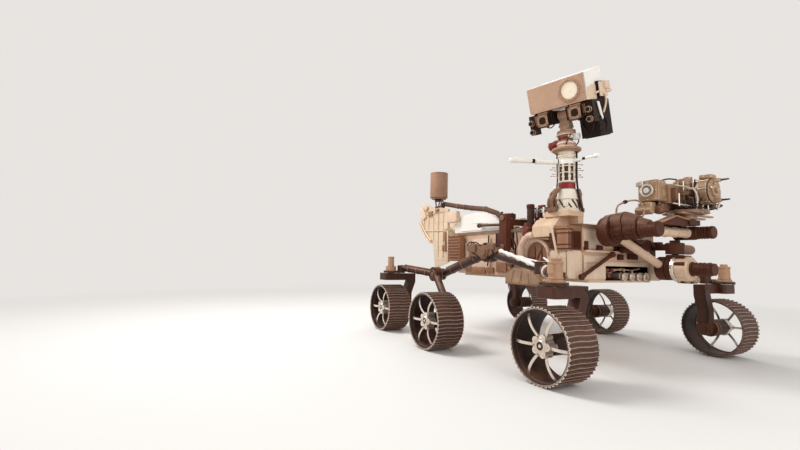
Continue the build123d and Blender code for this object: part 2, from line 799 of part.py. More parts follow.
# Wind booms. Columns: heading from +X, length, and the radii of the root, the waist and the tip
boom_table = [(-114.7, 440, 25, 15, 21), (0.0, 200, 13, 8, 10)]
boom_waist = 26.0
with BuildPart() as wind_booms:
    rod((mast_x, mast_y, boom_z - 24), (mast_x, mast_y, boom_z + 18), 74)
    for heading, length, root_radius, waist_radius, tip_radius in boom_table:
        ahead = Vector(cos(radians(heading)), sin(radians(heading)), 0)
        root = Vector(mast_x, mast_y, boom_z) + ahead * 60
        middle = root + ahead * (length * 0.5)
        tip = root + ahead * (length - tip_radius)
        rod(tuple(root), tuple(middle), root_radius)
        rod(tuple(middle), tuple(middle + ahead * boom_waist), waist_radius)
        rod(tuple(middle + ahead * boom_waist), tuple(tip), tip_radius)
        with Locations(tuple(tip)):
            Sphere(tip_radius)
    bore((mast_x, mast_y, boom_z - 40), (mast_x, mast_y, boom_z + 40), mast_tube_radius + 0.3)
save(wind_booms, "wind_booms")

# Pan head: turntable, neck and the drum of the tilt axis, with a small motor at its side
pan = radians(head_pan)
head_right = Vector(-sin(pan), cos(pan), 0)
head_ahead = Vector(cos(pan), sin(pan), 0)
neck_frame = Plane(origin=(mast_x, mast_y, 0), x_dir=tuple(head_right), z_dir=(0, 0, 1))
pan_low = mast_top_z + joint_gap
with BuildPart() as pan_head:
    stepped((mast_x, mast_y, pan_low), (0, 0, 1), [(50, 74), (56, 46), (22, 78)])
    turntable_top = pan_low + 128
    with BuildSketch(neck_frame.offset(turntable_top)):
        SlotOverall(156, 104)
    extrude(amount=24)
    stepped((mast_x, mast_y, turntable_top + 24), (0, 0, 1), [(34, 52)])
    rod((mast_x, mast_y, mast_top_z - 50), (mast_x, mast_y, pan_low), pan_pin_radius)
    with BuildSketch(neck_frame.offset(1984)) as neck_root:
        Rectangle(96, 84)
    with BuildSketch(neck_frame.offset(2075)) as neck_top:
        Rectangle(60, 60)
    loft([neck_root.sketch.face(), neck_top.sketch.face()])
    axis_point = Vector(mast_x, mast_y, head_axis_z)
    rod(tuple(axis_point - head_right * 57), tuple(axis_point + head_right * 57), 44)
    rod(tuple(axis_point - head_right * 77), tuple(axis_point + head_right * 77), 20)
    motor_root = Vector(mast_x, mast_y, 1872) - head_right * 30
    motor_tip = Vector(mast_x, mast_y, 1826) - head_right * 150
    rod(tuple(motor_root), tuple(motor_tip), 37)
save(pan_head, "pan_head")

# Camera head in its own frame: x to the picture's right, y up and z ahead, with the tilt axis on x
tilt = radians(head_tilt)
head_normal = head_ahead * cos(tilt) + Vector(0, 0, 1) * sin(tilt)
head_frame = Plane(origin=(mast_x, mast_y, head_axis_z), x_dir=tuple(head_right), z_dir=tuple(head_normal))


def head_point(x, y, z):
    """A point of the camera head's frame, in the rover's frame."""
    return tuple(head_frame.from_local_coords((x, y, z)))


bar_low = -62.0
bar_high = 50.0
with BuildPart() as camera_bar:
    for inner, outer in ((-63, -275), (63, 285)):
        block(sorted((inner, outer)), (bar_low, bar_high), (50, 130), head_frame)
        outward = 1 if inner > 0 else -1
        block(sorted((inner, inner + outward * 15)), (bar_low, bar_high), (-45, 50), head_frame)
        block(sorted((inner + outward * 20, inner + outward * 140)), (bar_high, 60), (60, 120), head_frame)
    for camera_x in (-131, 153):
        block((camera_x - 47.5, camera_x + 47.5), (-62.5, 32.5), (130, 165), head_frame)
        rod(head_point(camera_x, -15, 165), head_point(camera_x, -15, 173), 30)
    for end_low, end_high, lens_x in ((-275, -222, -246), (230, 285, 256)):
        block((end_low, end_high), (-118, bar_low), (50, 130), head_frame)
        for lens_y in (-15, -92):
            rod(head_point(lens_x, lens_y, 130), head_point(lens_x, lens_y, 168), 22)
    rod(head_point(-80, 0, 0), head_point(80, 0, 0), 20 + running_clearance, mode=Mode.SUBTRACT)
save(camera_bar, "camera_bar")

box_left = -234.0
box_right = 256.0
box_low = 60.0
box_high = 272.0
box_back = -155.0
box_front = 165.0
window_x = 135.0
window_y = 168.0
window_radius = 67.7
with BuildPart() as head_box:
    block((box_left, box_right), (box_low, box_high), (box_back, box_front), head_frame)
    rod(head_point(window_x, window_y, box_front), head_point(window_x, window_y, box_front + 8), 95)
    rod(
        head_point(window_x, window_y, box_front - 10),
        head_point(window_x, window_y, box_front + 8),
        window_radius + 0.3,
        mode=Mode.SUBTRACT,
    )
save(head_box, "head_box")

with BuildPart() as head_window:
    rod(
        head_point(window_x, window_y, box_front - 10),
        head_point(window_x, window_y, box_front + 3),
        window_radius,
    )
save(head_window, "head_window")

# White cover on the head box: a wedge on its top, a plate behind it and one at its right side
cover_peak = 336.0
cover_back = -165.0
cover_right = box_right + 6.3
cover_frame = Plane(
    origin=head_point(cover_right, 0, 0),
    x_dir=tuple(head_frame.z_dir),
    z_dir=tuple(-head_frame.x_dir),
)
with BuildPart() as head_cover:
    with BuildSketch(cover_frame):
        with BuildLine():
            Polyline(
                (box_front - 15, box_high + 0.3),
                (cover_back, cover_peak),
                (cover_back, box_low),
                (box_back - 0.3, box_low),
                (box_back - 0.3, box_high + 0.3),
                close=True,
            )
        make_face()
    extrude(amount=cover_right - box_left)
    with BuildSketch(cover_frame):
        with BuildLine():
            Polyline(
                (box_front - 15, box_low),
                (box_front - 15, box_high + 0.3),
                (cover_back, cover_peak),
                (cover_back, box_low),
                close=True,
            )
        make_face()
    extrude(amount=cover_right - box_right - 0.3)
save(head_cover, "head_cover")

with BuildPart() as head_rear_box:
    block((130, 285), (-235, 55), (-190, 50), head_frame)
    block((cover_right + 0.3, 285), (50, 200), (-150, -20), head_frame)
save(head_rear_box, "head_rear_box")

# Arm mount: bracket on the chassis front and the housing of the shoulder's upright axis
mount_low = 925.0
mount_high = 1020.0
mount_radius = 72.0
with BuildPart() as arm_mount:
    block((body_front, shoulder_x), (shoulder_y, shoulder_y + 60), (mount_low + 35, mount_high - 5))
    rod((shoulder_x, shoulder_y, mount_low), (shoulder_x, shoulder_y, mount_high), mount_radius)
    block(
        (body_front, body_front + 20),
        (shoulder_y - 80, shoulder_y + 95),
        (mount_low - 20, mount_high + 20),
    )
    bore((shoulder_x, shoulder_y, mount_low), (shoulder_x, shoulder_y, mount_low + 80), arm_bore_radius)
save(arm_mount, "arm_mount")

# Shoulder: turntable under the mount and the drum of the raising axis, which runs along X
with BuildPart() as shoulder:
    rod(
        (shoulder_x, shoulder_y, mount_low - joint_gap - 11),
        (shoulder_x, shoulder_y, mount_low - joint_gap),
        mount_radius - 8,
    )
    rod(
        (shoulder_x, shoulder_y, mount_low - joint_gap),
        (shoulder_x, shoulder_y, mount_low + 75),
        arm_pin_radius,
    )
    block(
        (shoulder_face + 2, shoulder_face + 150),
        (shoulder_y - 60, shoulder_y + 60),
        (shoulder_z, mount_low - joint_gap - 5),
    )
    stepped((shoulder_face, shoulder_y, shoulder_z), (1, 0, 0), [(180, 95), (170, 50)])
    rod((shoulder_face - 70, shoulder_y, shoulder_z), (shoulder_face, shoulder_y, shoulder_z), arm_pin_radius)
save(shoulder, "shoulder")

# Upper arm: disc at the shoulder, tube and the drum of the elbow with its motor
upper_x = shoulder_face - joint_gap - 35
with BuildPart() as upper_arm:
    rod((upper_x - 35, shoulder_y, shoulder_z), (upper_x + 35, shoulder_y, shoulder_z), 100)
    rod((upper_x, shoulder_y, shoulder_z), (upper_x, elbow_y, elbow_z), 34)
    rod((upper_x - 40, elbow_y, elbow_z), (upper_x + 40, elbow_y, elbow_z), 116)
    stepped(
        (upper_x + 40, elbow_y, elbow_z),
        (1, 0, 0),
        [
            (forearm_x - 50 - joint_gap - upper_x - 40, 64),
            (112, arm_pin_radius),
            (140, 52),
        ],
    )
    bore((upper_x - 40, shoulder_y, shoulder_z), (upper_x + 40, shoulder_y, shoulder_z), arm_bore_radius)
save(upper_arm, "upper_arm")

# Forearm: hub round the elbow's pin, tube and the motor of the wrist
with BuildPart() as forearm:
    rod((forearm_x - 50, elbow_y, elbow_z), (forearm_x + 50, elbow_y, elbow_z), 66)
    rod((forearm_x, elbow_y, elbow_z), (forearm_x, wrist_y, wrist_z), 38)
    rod((forearm_x - 46, wrist_y, wrist_z), (forearm_x + 46, wrist_y, wrist_z), 54)
    rod((forearm_x + 46, wrist_y, wrist_z), (forearm_x + 180, wrist_y, wrist_z), 48)
    rod((forearm_x - 46 - 76, wrist_y, wrist_z), (forearm_x - 46, wrist_y, wrist_z), arm_pin_radius)
    bore((forearm_x - 60, elbow_y, elbow_z), (forearm_x + 60, elbow_y, elbow_z), arm_bore_radius)
save(forearm, "forearm")

# Wrist: disc on the wrist's pin and the bracket up to the turret's upright axis
wrist_plate_x = forearm_x - 46 - joint_gap
with BuildPart() as wrist:
    rod((wrist_plate_x - 66, wrist_y, wrist_z), (wrist_plate_x, wrist_y, wrist_z), 54)
    front_plate(
        [
            (wrist_y + 50, wrist_z),
            (wrist_y + 40, 1205),
            (turret_y - 90, 1205),
            (turret_y - 90, 1172),
            (wrist_y - 50, wrist_z),
        ],
        wrist_plate_x - 66,
        66,
    )
    block((wrist_plate_x - 66, turret_x + 70), (turret_y - 80, turret_y + 80), (1162, 1205))
    rod((turret_x, turret_y, 1205), (turret_x, turret_y, 1290), arm_pin_radius)
    bore((wrist_plate_x - 90, wrist_y, wrist_z), (wrist_plate_x + 10, wrist_y, wrist_z), arm_bore_radius)
save(wrist, "wrist")

# Turret: base plate and core
with BuildPart() as turret_core:
    rod((turret_x, turret_y, turret_low), (turret_x, turret_y, 1262), 80)
    rod((turret_x, turret_y, 1262), (turret_x, turret_y, 1282), 165)
    rod((turret_x, turret_y, 1282), (turret_x, turret_y, 1530), turret_core_radius)
    bore((turret_x, turret_y, turret_low - 5), (turret_x, turret_y, 1295), arm_bore_radius)
save(turret_core, "turret_core")

# Coring drill with its two prongs, facing forward
drill_z = 1430.0
with BuildPart() as turret_drill:
    block((turret_x + turret_seat, turret_x + 130), (turret_y - 50, turret_y + 50), (1290, 1520))
    rod((turret_x + 130, turret_y, drill_z), (turret_x + 215, turret_y, drill_z), 105)
    for prong_z in (drill_z - 80, drill_z + 80):
        rod((turret_x + 200, turret_y, prong_z), (turret_x + prong_reach, turret_y, prong_z), 11, 6)
save(turret_drill, "turret_drill")

# Instruments round the turret: a scanner box on its bracket to the right, a sensor drum to the left
with BuildPart() as turret_instruments:
    block((turret_x - 165, turret_x - 10), (turret_y - 385, turret_y - 265), (1345, 1512))
    rod((turret_x - 85, turret_y - 385, 1430), (turret_x - 85, turret_y - 407, 1430), 52)
    block((turret_x - 120, turret_x + 12), (turret_y - 265, turret_y - turret_seat), (1330, 1480))
    rod((turret_x, turret_y + turret_seat, 1410), (turret_x, turret_y + 280, 1410), 84)
    block((turret_x - 165, turret_x - turret_seat), (turret_y - 80, turret_y + 80), (1290, 1480))
save(turret_instruments, "turret_instruments")

# Steerable antenna: post, yoke and the flat hexagonal plate
dish_tilt = radians(20)
dish_heading = radians(130)
dish_normal = Vector(
    cos(dish_heading) * cos(dish_tilt),
    sin(dish_heading) * cos(dish_tilt),
    sin(dish_tilt),
)
dish_right = Vector(-sin(dish_heading), cos(dish_heading), 0)
with BuildPart() as antenna_post:
    rod((dish_x, dish_y, deck_top), (dish_x, dish_y, 1250), 48)
    rod((dish_x, dish_y, 1170), (dish_x, dish_y, 1250), 22 + running_clearance, mode=Mode.SUBTRACT)
save(antenna_post, "antenna_post")

yoke_frame = Plane(origin=(dish_x, dish_y, 0), x_dir=tuple(dish_right), z_dir=(0, 0, 1))
dish_centre = Vector(dish_x, dish_y, dish_z)
with BuildPart() as antenna_yoke:
    rod((dish_x, dish_y, 1180), (dish_x, dish_y, 1256), 22)
    rod((dish_x, dish_y, 1256), (dish_x, dish_y, 1300), 46)
    block((-22, 22), (-22, 22), (1300, dish_z), yoke_frame)
    rod(tuple(dish_centre - dish_right * 30), tuple(dish_centre + dish_right * 30), 28)
    rod(tuple(dish_centre - dish_right * 58), tuple(dish_centre + dish_right * 58), 12)
save(antenna_yoke, "antenna_yoke")

dish_frame = Plane(origin=tuple(dish_centre), x_dir=tuple(dish_right), z_dir=tuple(dish_normal))
with BuildPart() as antenna_plate:
    with BuildSketch(dish_frame.offset(dish_standoff)):
        RegularPolygon(dish_radius, 6)
    extrude(amount=dish_thickness)
    for cheek in ((-58, -36), (36, 58)):
        block(cheek, (-30, 30), (-26, dish_standoff + 2), dish_frame)
    rod(
        tuple(dish_centre - dish_right * 70),
        tuple(dish_centre + dish_right * 70),
        12 + running_clearance,
        mode=Mode.SUBTRACT,
    )
save(antenna_plate, "antenna_plate")
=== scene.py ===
"""Planetary rover: materials, added detail, floor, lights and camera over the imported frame."""

import bmesh
import bpy
import numpy as np
from math import cos, pi, radians, sin
from mathutils import Matrix, Vector


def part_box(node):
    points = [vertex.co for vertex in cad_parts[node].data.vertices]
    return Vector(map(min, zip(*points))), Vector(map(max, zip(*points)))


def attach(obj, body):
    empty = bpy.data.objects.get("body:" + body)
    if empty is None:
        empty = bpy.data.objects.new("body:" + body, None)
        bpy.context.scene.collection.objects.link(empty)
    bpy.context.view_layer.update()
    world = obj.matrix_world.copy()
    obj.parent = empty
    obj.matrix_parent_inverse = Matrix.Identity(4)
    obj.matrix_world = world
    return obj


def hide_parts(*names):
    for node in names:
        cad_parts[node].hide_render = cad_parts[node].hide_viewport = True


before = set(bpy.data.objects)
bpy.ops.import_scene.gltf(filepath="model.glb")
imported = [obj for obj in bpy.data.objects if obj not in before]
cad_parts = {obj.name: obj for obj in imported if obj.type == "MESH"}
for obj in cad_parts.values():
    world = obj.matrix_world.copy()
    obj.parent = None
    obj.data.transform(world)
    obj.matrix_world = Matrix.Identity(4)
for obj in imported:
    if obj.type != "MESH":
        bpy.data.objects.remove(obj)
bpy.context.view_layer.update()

axle_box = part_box("wheel_middle_right_rim")
middle_axle_x = (axle_box[0][0] + axle_box[1][0]) / 2

# Camera: its place counts from the middle axle, and its angles were fitted to the six wheels
camera_place = Vector((middle_axle_x + 3.296, -3.434, 0.807))
camera_yaw = radians(61.295)
camera_pitch = radians(4.98)
camera_roll = radians(1.424)
camera_focal_px = 413.5
frame_width_px = 800
sensor_width = 36.0
near_clip = 0.05

camera_data = bpy.data.cameras.new("photo_camera")
camera_data.sensor_width = sensor_width
camera_data.lens = camera_focal_px / frame_width_px * sensor_width
camera_data.clip_start = near_clip
camera = bpy.data.objects.new("photo_camera", camera_data)
bpy.context.scene.collection.objects.link(camera)
bpy.context.scene.camera = camera
ahead = Vector((-sin(camera_yaw) * cos(camera_pitch), cos(camera_yaw) * cos(camera_pitch), sin(camera_pitch)))
level_right = Vector((cos(camera_yaw), sin(camera_yaw), 0))
level_up = level_right.cross(ahead)
right = level_right * cos(camera_roll) + level_up * sin(camera_roll)
up = level_up * cos(camera_roll) - level_right * sin(camera_roll)
camera.matrix_world = Matrix((
    (right.x, up.x, -ahead.x, camera_place.x),
    (right.y, up.y, -ahead.y, camera_place.y),
    (right.z, up.z, -ahead.z, camera_place.z),
    (0, 0, 0, 1),
))


# Shader groups shared by the finishes

def new_group(name, inputs, outputs):
    """An empty shader group with number or vector inputs and number outputs."""
    group = bpy.data.node_groups.new(name, "ShaderNodeTree")
    for label, kind, value in inputs:
        socket = group.interface.new_socket(label, in_out="INPUT", socket_type=kind)
        socket.default_value = value
    for label in outputs:
        group.interface.new_socket(label, in_out="OUTPUT", socket_type="NodeSocketFloat")
    start = group.nodes.new("NodeGroupInput")
    end = group.nodes.new("NodeGroupOutput")
    return group, start, end


def math_node(tree, operation, first, second=None, clamp=False):
    """A Math node whose operands are sockets or plain numbers; gives its output socket."""
    node = tree.nodes.new("ShaderNodeMath")
    node.operation = operation
    node.use_clamp = clamp
    for socket, value in zip(node.inputs, (first, second)):
        if value is None:
            continue
        if isinstance(value, (int, float)):
            socket.default_value = value
        else:
            tree.links.new(value, socket)
    return node.outputs[0]


def vector_node(tree, operation, first, second=None):
    """A Vector Math node whose operands are sockets or plain triples; gives its output socket."""
    node = tree.nodes.new("ShaderNodeVectorMath")
    node.operation = operation
    for socket, value in zip(node.inputs, (first, second)):
        if value is None:
            continue
        if isinstance(value, tuple):
            socket.default_value = value
        else:
            tree.links.new(value, socket)
    return node.outputs["Value"] if operation == "DOT_PRODUCT" else node.outputs["Vector"]


def ramp_node(tree, value, low, high, to_low=0.0, to_high=1.0):
    """A clamped straight ramp of a value from one range to another."""
    node = tree.nodes.new("ShaderNodeMapRange")
    node.clamp = True
    tree.links.new(value, node.inputs["Value"])
    node.inputs["From Min"].default_value = low
    node.inputs["From Max"].default_value = high
    node.inputs["To Min"].default_value = to_low
    node.inputs["To Max"].default_value = to_high
    return node.outputs["Result"]


def noise_node(tree, coordinates, scale, detail=4.0, rough=0.55):
    """A Noise Texture on the given coordinates; gives its value."""
    node = tree.nodes.new("ShaderNodeTexNoise")
    node.inputs["Scale"].default_value = scale
    node.inputs["Detail"].default_value = detail
    node.inputs["Roughness"].default_value = rough
    tree.links.new(coordinates, node.inputs["Vector"])
    return node.outputs[0]


# Weathering: noise scales per metre, the size of the patches, and the width of a worn edge in metres
broad_scale, drift_scale, chip_scale, fine_scale, speck_scale = 2.6, 9.0, 34.0, 55.0, 210.0
worn_edge_radius = 0.004
bump_depth = 0.002

# How far the grain and the dust move the roughness
grain_rough, grain_rough_middle, dust_rough = 0.25, 0.12, 0.35


def make_weathering():
    """Patches of tone, fine grain, dust on what faces up, and wear along the edges."""
    group, start, end = new_group(
        "weathering",
        [("Dust", "NodeSocketFloat", 0.3), ("Wear", "NodeSocketFloat", 0.5)],
        ["Tone", "Grain", "Dust", "Wear", "Height"],
    )
    coordinates = group.nodes.new("ShaderNodeTexCoord")
    spot = coordinates.outputs["Object"]
    broad = noise_node(group, spot, broad_scale, 5.0, 0.6)
    fine = noise_node(group, spot, fine_scale, 6.0, 0.65)
    speck = noise_node(group, spot, speck_scale, 3.0, 0.6)
    tone = math_node(group, "ADD", ramp_node(group, broad, 0.35, 0.65, 0.0, 0.75),
        ramp_node(group, fine, 0.4, 0.7, 0.0, 0.25))
    split = group.nodes.new("ShaderNodeSeparateXYZ")
    group.links.new(coordinates.outputs["Normal"], split.inputs[0])
    upward = ramp_node(group, split.outputs["Z"], 0.1, 0.95, 0.12, 1.0)
    drift = ramp_node(group, noise_node(group, spot, drift_scale, 6.0, 0.6), 0.36, 0.66)
    dust = math_node(group, "MULTIPLY", math_node(group, "MULTIPLY", upward, drift), start.outputs["Dust"], True)
    bevel = group.nodes.new("ShaderNodeBevel")
    bevel.samples = 4
    bevel.inputs["Radius"].default_value = worn_edge_radius
    geometry = group.nodes.new("ShaderNodeNewGeometry")
    turn = vector_node(group, "DOT_PRODUCT", bevel.outputs[0], geometry.outputs["Normal"])
    edge = ramp_node(group, math_node(group, "SUBTRACT", 1.0, turn), 0.015, 0.16)
    chips = ramp_node(group, noise_node(group, spot, chip_scale, 5.0, 0.7), 0.38, 0.6, 0.25, 1.0)
    wear = math_node(group, "MULTIPLY", math_node(group, "MULTIPLY", edge, chips), start.outputs["Wear"], True)
    height = math_node(group, "ADD", math_node(group, "MULTIPLY", fine, 0.7),
        math_node(group, "MULTIPLY", speck, 0.3))
    for label, socket in (("Tone", tone), ("Grain", fine), ("Dust", dust), ("Wear", wear), ("Height", height)):
        group.links.new(socket, end.inputs[label])
    return group


def make_lattice():
    """Thin lines where a panel is divided: planes at a spacing along each axis, away from faces that lie in them."""
    group, start, end = new_group(
        "panel_lines",
        [("Spacing", "NodeSocketVector", (0.1, 0.1, 0.1)), ("Offset", "NodeSocketVector", (0.0, 0.0, 0.0)),
         ("Width", "NodeSocketFloat", 0.002)],
        ["Lines"],
    )
    coordinates = group.nodes.new("ShaderNodeTexCoord")
    moved = vector_node(group, "ADD", coordinates.outputs["Object"], start.outputs["Offset"])
    part = vector_node(group, "FRACTION", vector_node(group, "DIVIDE", moved, start.outputs["Spacing"]))
    away = vector_node(group, "ABSOLUTE", vector_node(group, "SUBTRACT", part, (0.5, 0.5, 0.5)))
    near = vector_node(group, "MULTIPLY", vector_node(group, "SUBTRACT", (0.5, 0.5, 0.5), away),
        start.outputs["Spacing"])
    distance = group.nodes.new("ShaderNodeSeparateXYZ")
    group.links.new(near, distance.inputs[0])
    facing = group.nodes.new("ShaderNodeSeparateXYZ")
    group.links.new(vector_node(group, "ABSOLUTE", coordinates.outputs["Normal"]), facing.inputs[0])
    lines = None
    for axis in ("X", "Y", "Z"):
        close = math_node(group, "SUBTRACT", 1.0, math_node(group, "DIVIDE", distance.outputs[axis],
            start.outputs["Width"]), True)
        aside = ramp_node(group, facing.outputs[axis], 0.6, 0.85, 1.0, 0.0)
        line = math_node(group, "MULTIPLY", close, aside)
        lines = line if lines is None else math_node(group, "MAXIMUM", lines, line)
    group.links.new(ramp_node(group, lines, 0.15, 0.6), end.inputs["Lines"])
    return group


weathering = make_weathering()
panel_lines = make_lattice()
far_spacing = 50.0  # metres: an axis without panel lines has them so far off that none is met
dust_colour = (0.66, 0.47, 0.37)


def linear(colour):
    """A colour written as it looks on screen, as the shader wants it."""
    return tuple(((c + 0.055) / 1.055) ** 2.4 if c > 0.04045 else c / 12.92 for c in colour) + (1.0,)


def mix_colour(tree, factor, first, second):
    """A colour mix by a socket, between sockets or plain colours."""
    node = tree.nodes.new("ShaderNodeMix")
    node.data_type = "RGBA"
    tree.links.new(factor, node.inputs["Factor"])
    for label, value in (("A", first), ("B", second)):
        socket = [s for s in node.inputs if s.name == label and s.type == "RGBA"][0]
        if isinstance(value, tuple):
            socket.default_value = linear(value)
        else:
            tree.links.new(value, socket)
    return [s for s in node.outputs if s.type == "RGBA"][0]


dark_lift, green_power, blue_power = 0.2, 1.4, 1.7


def warm(colour):
    """A tone in warm low sun: green and blue fall off as powers of their share of red, and dark tones are lifted."""
    red, green, blue = colour
    lifted = red * (1 + dark_lift * (1 - red))
    return (min(lifted, 1.0), min(lifted * (green / red) ** green_power, 1.0),
            min(lifted * (blue / red) ** blue_power, 1.0))


def finish(name, colour, second, rough=0.6, metal=0.0, dust=0.3, wear=0.5, worn=(0.8, 0.76, 0.7), grain=0.3,
           spacing=None, line_width=0.002, line_colour=(0.25, 0.19, 0.16), line_depth=0.6, coat=0.0):
    """A painted, machined or wrapped finish: two tones, dust, worn edges, grain and, if asked, panel lines."""
    material = bpy.data.materials.new(name)
    material.use_nodes = True
    tree = material.node_tree
    shader = tree.nodes["Principled BSDF"]
    film = tree.nodes.new("ShaderNodeGroup")
    film.node_tree = weathering
    film.inputs["Dust"].default_value = dust
    film.inputs["Wear"].default_value = wear
    tinted = mix_colour(tree, film.outputs["Tone"], warm(colour), warm(second))
    height = film.outputs["Height"]
    if spacing:
        lattice = tree.nodes.new("ShaderNodeGroup")
        lattice.node_tree = panel_lines
        lattice.inputs["Spacing"].default_value = tuple(s or far_spacing for s in spacing)
        lattice.inputs["Offset"].default_value = tuple(0.0 if s else far_spacing / 2 for s in spacing)
        lattice.inputs["Width"].default_value = line_width
        tinted = mix_colour(tree, lattice.outputs["Lines"], tinted, warm(line_colour))
        groove = math_node(tree, "MULTIPLY", lattice.outputs["Lines"], line_depth * 2)
        height = math_node(tree, "SUBTRACT", height, groove)
    worn_paint = mix_colour(tree, film.outputs["Wear"], tinted, warm(worn))
    tree.links.new(mix_colour(tree, film.outputs["Dust"], worn_paint, dust_colour), shader.inputs["Base Color"])
    rough_film = math_node(tree, "ADD", math_node(tree, "MULTIPLY", film.outputs["Grain"], grain_rough),
        rough - grain_rough_middle)
    dusted = math_node(tree, "MULTIPLY", film.outputs["Dust"], dust_rough)
    tree.links.new(math_node(tree, "ADD", rough_film, dusted, True), shader.inputs["Roughness"])
    if metal:
        clean = math_node(tree, "SUBTRACT", 1.0, film.outputs["Dust"], True)
        tree.links.new(math_node(tree, "MULTIPLY", clean, metal), shader.inputs["Metallic"])
    shader.inputs["Coat Weight"].default_value = coat
    bump = tree.nodes.new("ShaderNodeBump")
    bump.inputs["Strength"].default_value = grain
    bump.inputs["Distance"].default_value = bump_depth
    tree.links.new(height, bump.inputs["Height"])
    tree.links.new(bump.outputs["Normal"], shader.inputs["Normal"])
    return material


tread_metal = finish("tread_metal", (0.36, 0.275, 0.25), (0.25, 0.18, 0.165), 0.5, 0.55, 0.35, 1.0,
    (0.86, 0.80, 0.76), 0.35)
tree = tread_metal.node_tree
crest_value = tree.nodes.new("ShaderNodeAttribute")
crest_value.attribute_name = "crest"
skin_shader = tree.nodes["Principled BSDF"]
skin_colour = skin_shader.inputs["Base Color"].links[0].from_socket
# Ridge crests are mixed towards a pale tone: a painted highlight on the lit ridge tops
crest_highlight_mask = ramp_node(tree, crest_value.outputs["Fac"], 0.9, 1.0, 0.0, 0.62)
tree.links.new(mix_colour(tree, crest_highlight_mask, skin_colour, (0.80, 0.72, 0.68)), skin_shader.inputs["Base Color"])
# Very dark brown for the inside of the wheel and the hub's centre: painted shade
wheel_inside_shade = finish("wheel_inside_shade", (0.17, 0.11, 0.10), (0.11, 0.07, 0.065), 0.6, 0.3, 0.4, 0.3)
spoke_silver = finish("spoke_silver", (0.92, 0.88, 0.86), (0.80, 0.75, 0.72), 0.34, 0.7, 0.15, 0.6,
    (0.97, 0.95, 0.93), 0.2)
leg_brown = finish("leg_brown", (0.27, 0.17, 0.14), (0.18, 0.108, 0.09), 0.5, 0.35, 0.25, 0.6,
    (0.62, 0.50, 0.44), 0.35)
tube_brown = finish("tube_brown", (0.23, 0.15, 0.135), (0.15, 0.095, 0.085), 0.42, 0.4, 0.45, 0.6,
    (0.66, 0.55, 0.49), 0.3)
motor_brown = finish("motor_brown", (0.49, 0.39, 0.345), (0.37, 0.28, 0.245), 0.48, 0.35, 0.3, 0.8,
    (0.74, 0.64, 0.57), 0.3)
body_cream = finish("body_cream", (0.83, 0.74, 0.69), (0.74, 0.64, 0.59), 0.55, 0.05, 0.3, 0.5, (0.93, 0.86, 0.78),
    0.25, spacing=(0.235, 0.0, 0.0), line_width=0.0022)
box_brown = finish("box_brown", (0.62, 0.49, 0.43), (0.50, 0.385, 0.335), 0.5, 0.25, 0.3, 0.8, (0.78, 0.68, 0.6), 0.3)
panel_cream = finish("panel_cream", (0.88, 0.81, 0.76), (0.80, 0.72, 0.67), 0.5, 0.0, 0.25, 0.5,
    (0.97, 0.93, 0.88), 0.2)
shroud_cream = finish("shroud_cream", (0.85, 0.77, 0.71), (0.77, 0.67, 0.61), 0.5, 0.0, 0.3, 0.5, (0.97, 0.93, 0.88),
    0.25, spacing=(0.11, 0.0, 0.0), line_width=0.0016, line_colour=(0.52, 0.42, 0.35), line_depth=0.3)
skirt_cream = finish("skirt_cream", (0.77, 0.67, 0.61), (0.66, 0.56, 0.50), 0.55, 0.0, 0.3, 0.5, (0.93, 0.86, 0.78),
    0.25, spacing=(0.105, 0.0, 0.0), line_width=0.0028, line_colour=(0.42, 0.33, 0.28))
cover_white = finish("cover_white", (0.97, 0.96, 0.95), (0.90, 0.88, 0.86), 0.4, 0.0, 0.12, 0.3,
    (1.0, 1.0, 1.0), 0.15)
exchanger_cream = finish("exchanger_cream", (0.87, 0.81, 0.75), (0.78, 0.70, 0.64), 0.5, 0.0, 0.25, 0.4,
    (0.97, 0.93, 0.88), 0.25, spacing=(0.085, 0.0, 0.118), line_width=0.0018, line_colour=(0.60, 0.51, 0.45))
deck_grey = finish("deck_grey", (0.55, 0.47, 0.42), (0.44, 0.37, 0.33), 0.55, 0.2, 0.5, 0.7, (0.8, 0.72, 0.65), 0.3)
hose_brown = finish("hose_brown", (0.45, 0.35, 0.30), (0.30, 0.215, 0.185), 0.75, 0.0, 0.2, 0.2, grain=0.9,
                    spacing=(0.016, 0.0, 0.0), line_width=0.0045, line_colour=(0.25, 0.17, 0.145), line_depth=1.6)
canister_dark = finish("canister_dark", (0.23, 0.155, 0.13), (0.14, 0.09, 0.075), 0.5, 0.2, 0.25, 0.5,
    (0.5, 0.4, 0.34), 0.3)
antenna_tan = finish("antenna_tan", (0.68, 0.565, 0.515), (0.56, 0.455, 0.41), 0.5, 0.1, 0.15, 0.5, (0.78, 0.7, 0.63),
    0.3, spacing=(0.0, 0.0, 0.0135), line_width=0.0026, line_colour=(0.40, 0.31, 0.27), line_depth=0.9)
mast_white = finish("mast_white", (0.94, 0.92, 0.89), (0.84, 0.79, 0.74), 0.42, 0.0, 0.15, 0.4, (1.0, 1.0, 0.98), 0.2)
head_beige = finish("head_beige", (0.73, 0.63, 0.58), (0.66, 0.555, 0.51), 0.5, 0.0, 0.1, 0.4,
    (0.88, 0.80, 0.73), 0.2)
bar_dark = finish("bar_dark", (0.15, 0.095, 0.08), (0.08, 0.048, 0.042), 0.55, 0.1, 0.06, 0.5, (0.5, 0.42, 0.37), 0.3)
box_black = finish("box_black", (0.115, 0.062, 0.047), (0.055, 0.029, 0.023), 0.65, 0.0, 0.05, 0.3,
    (0.30, 0.20, 0.16), 0.8)
arm_cream = finish("arm_cream", (0.86, 0.78, 0.73), (0.76, 0.67, 0.62), 0.42, 0.1, 0.2, 0.5, (0.96, 0.91, 0.85), 0.2)
arm_brown = finish("arm_brown", (0.31, 0.20, 0.17), (0.21, 0.125, 0.105), 0.5, 0.2, 0.12, 0.35,
    (0.50, 0.38, 0.32), 0.3)
turret_grey = finish("turret_grey", (0.72, 0.63, 0.58), (0.44, 0.345, 0.30), 0.42, 0.45, 0.2, 0.9,
    (0.86, 0.8, 0.74), 0.35)
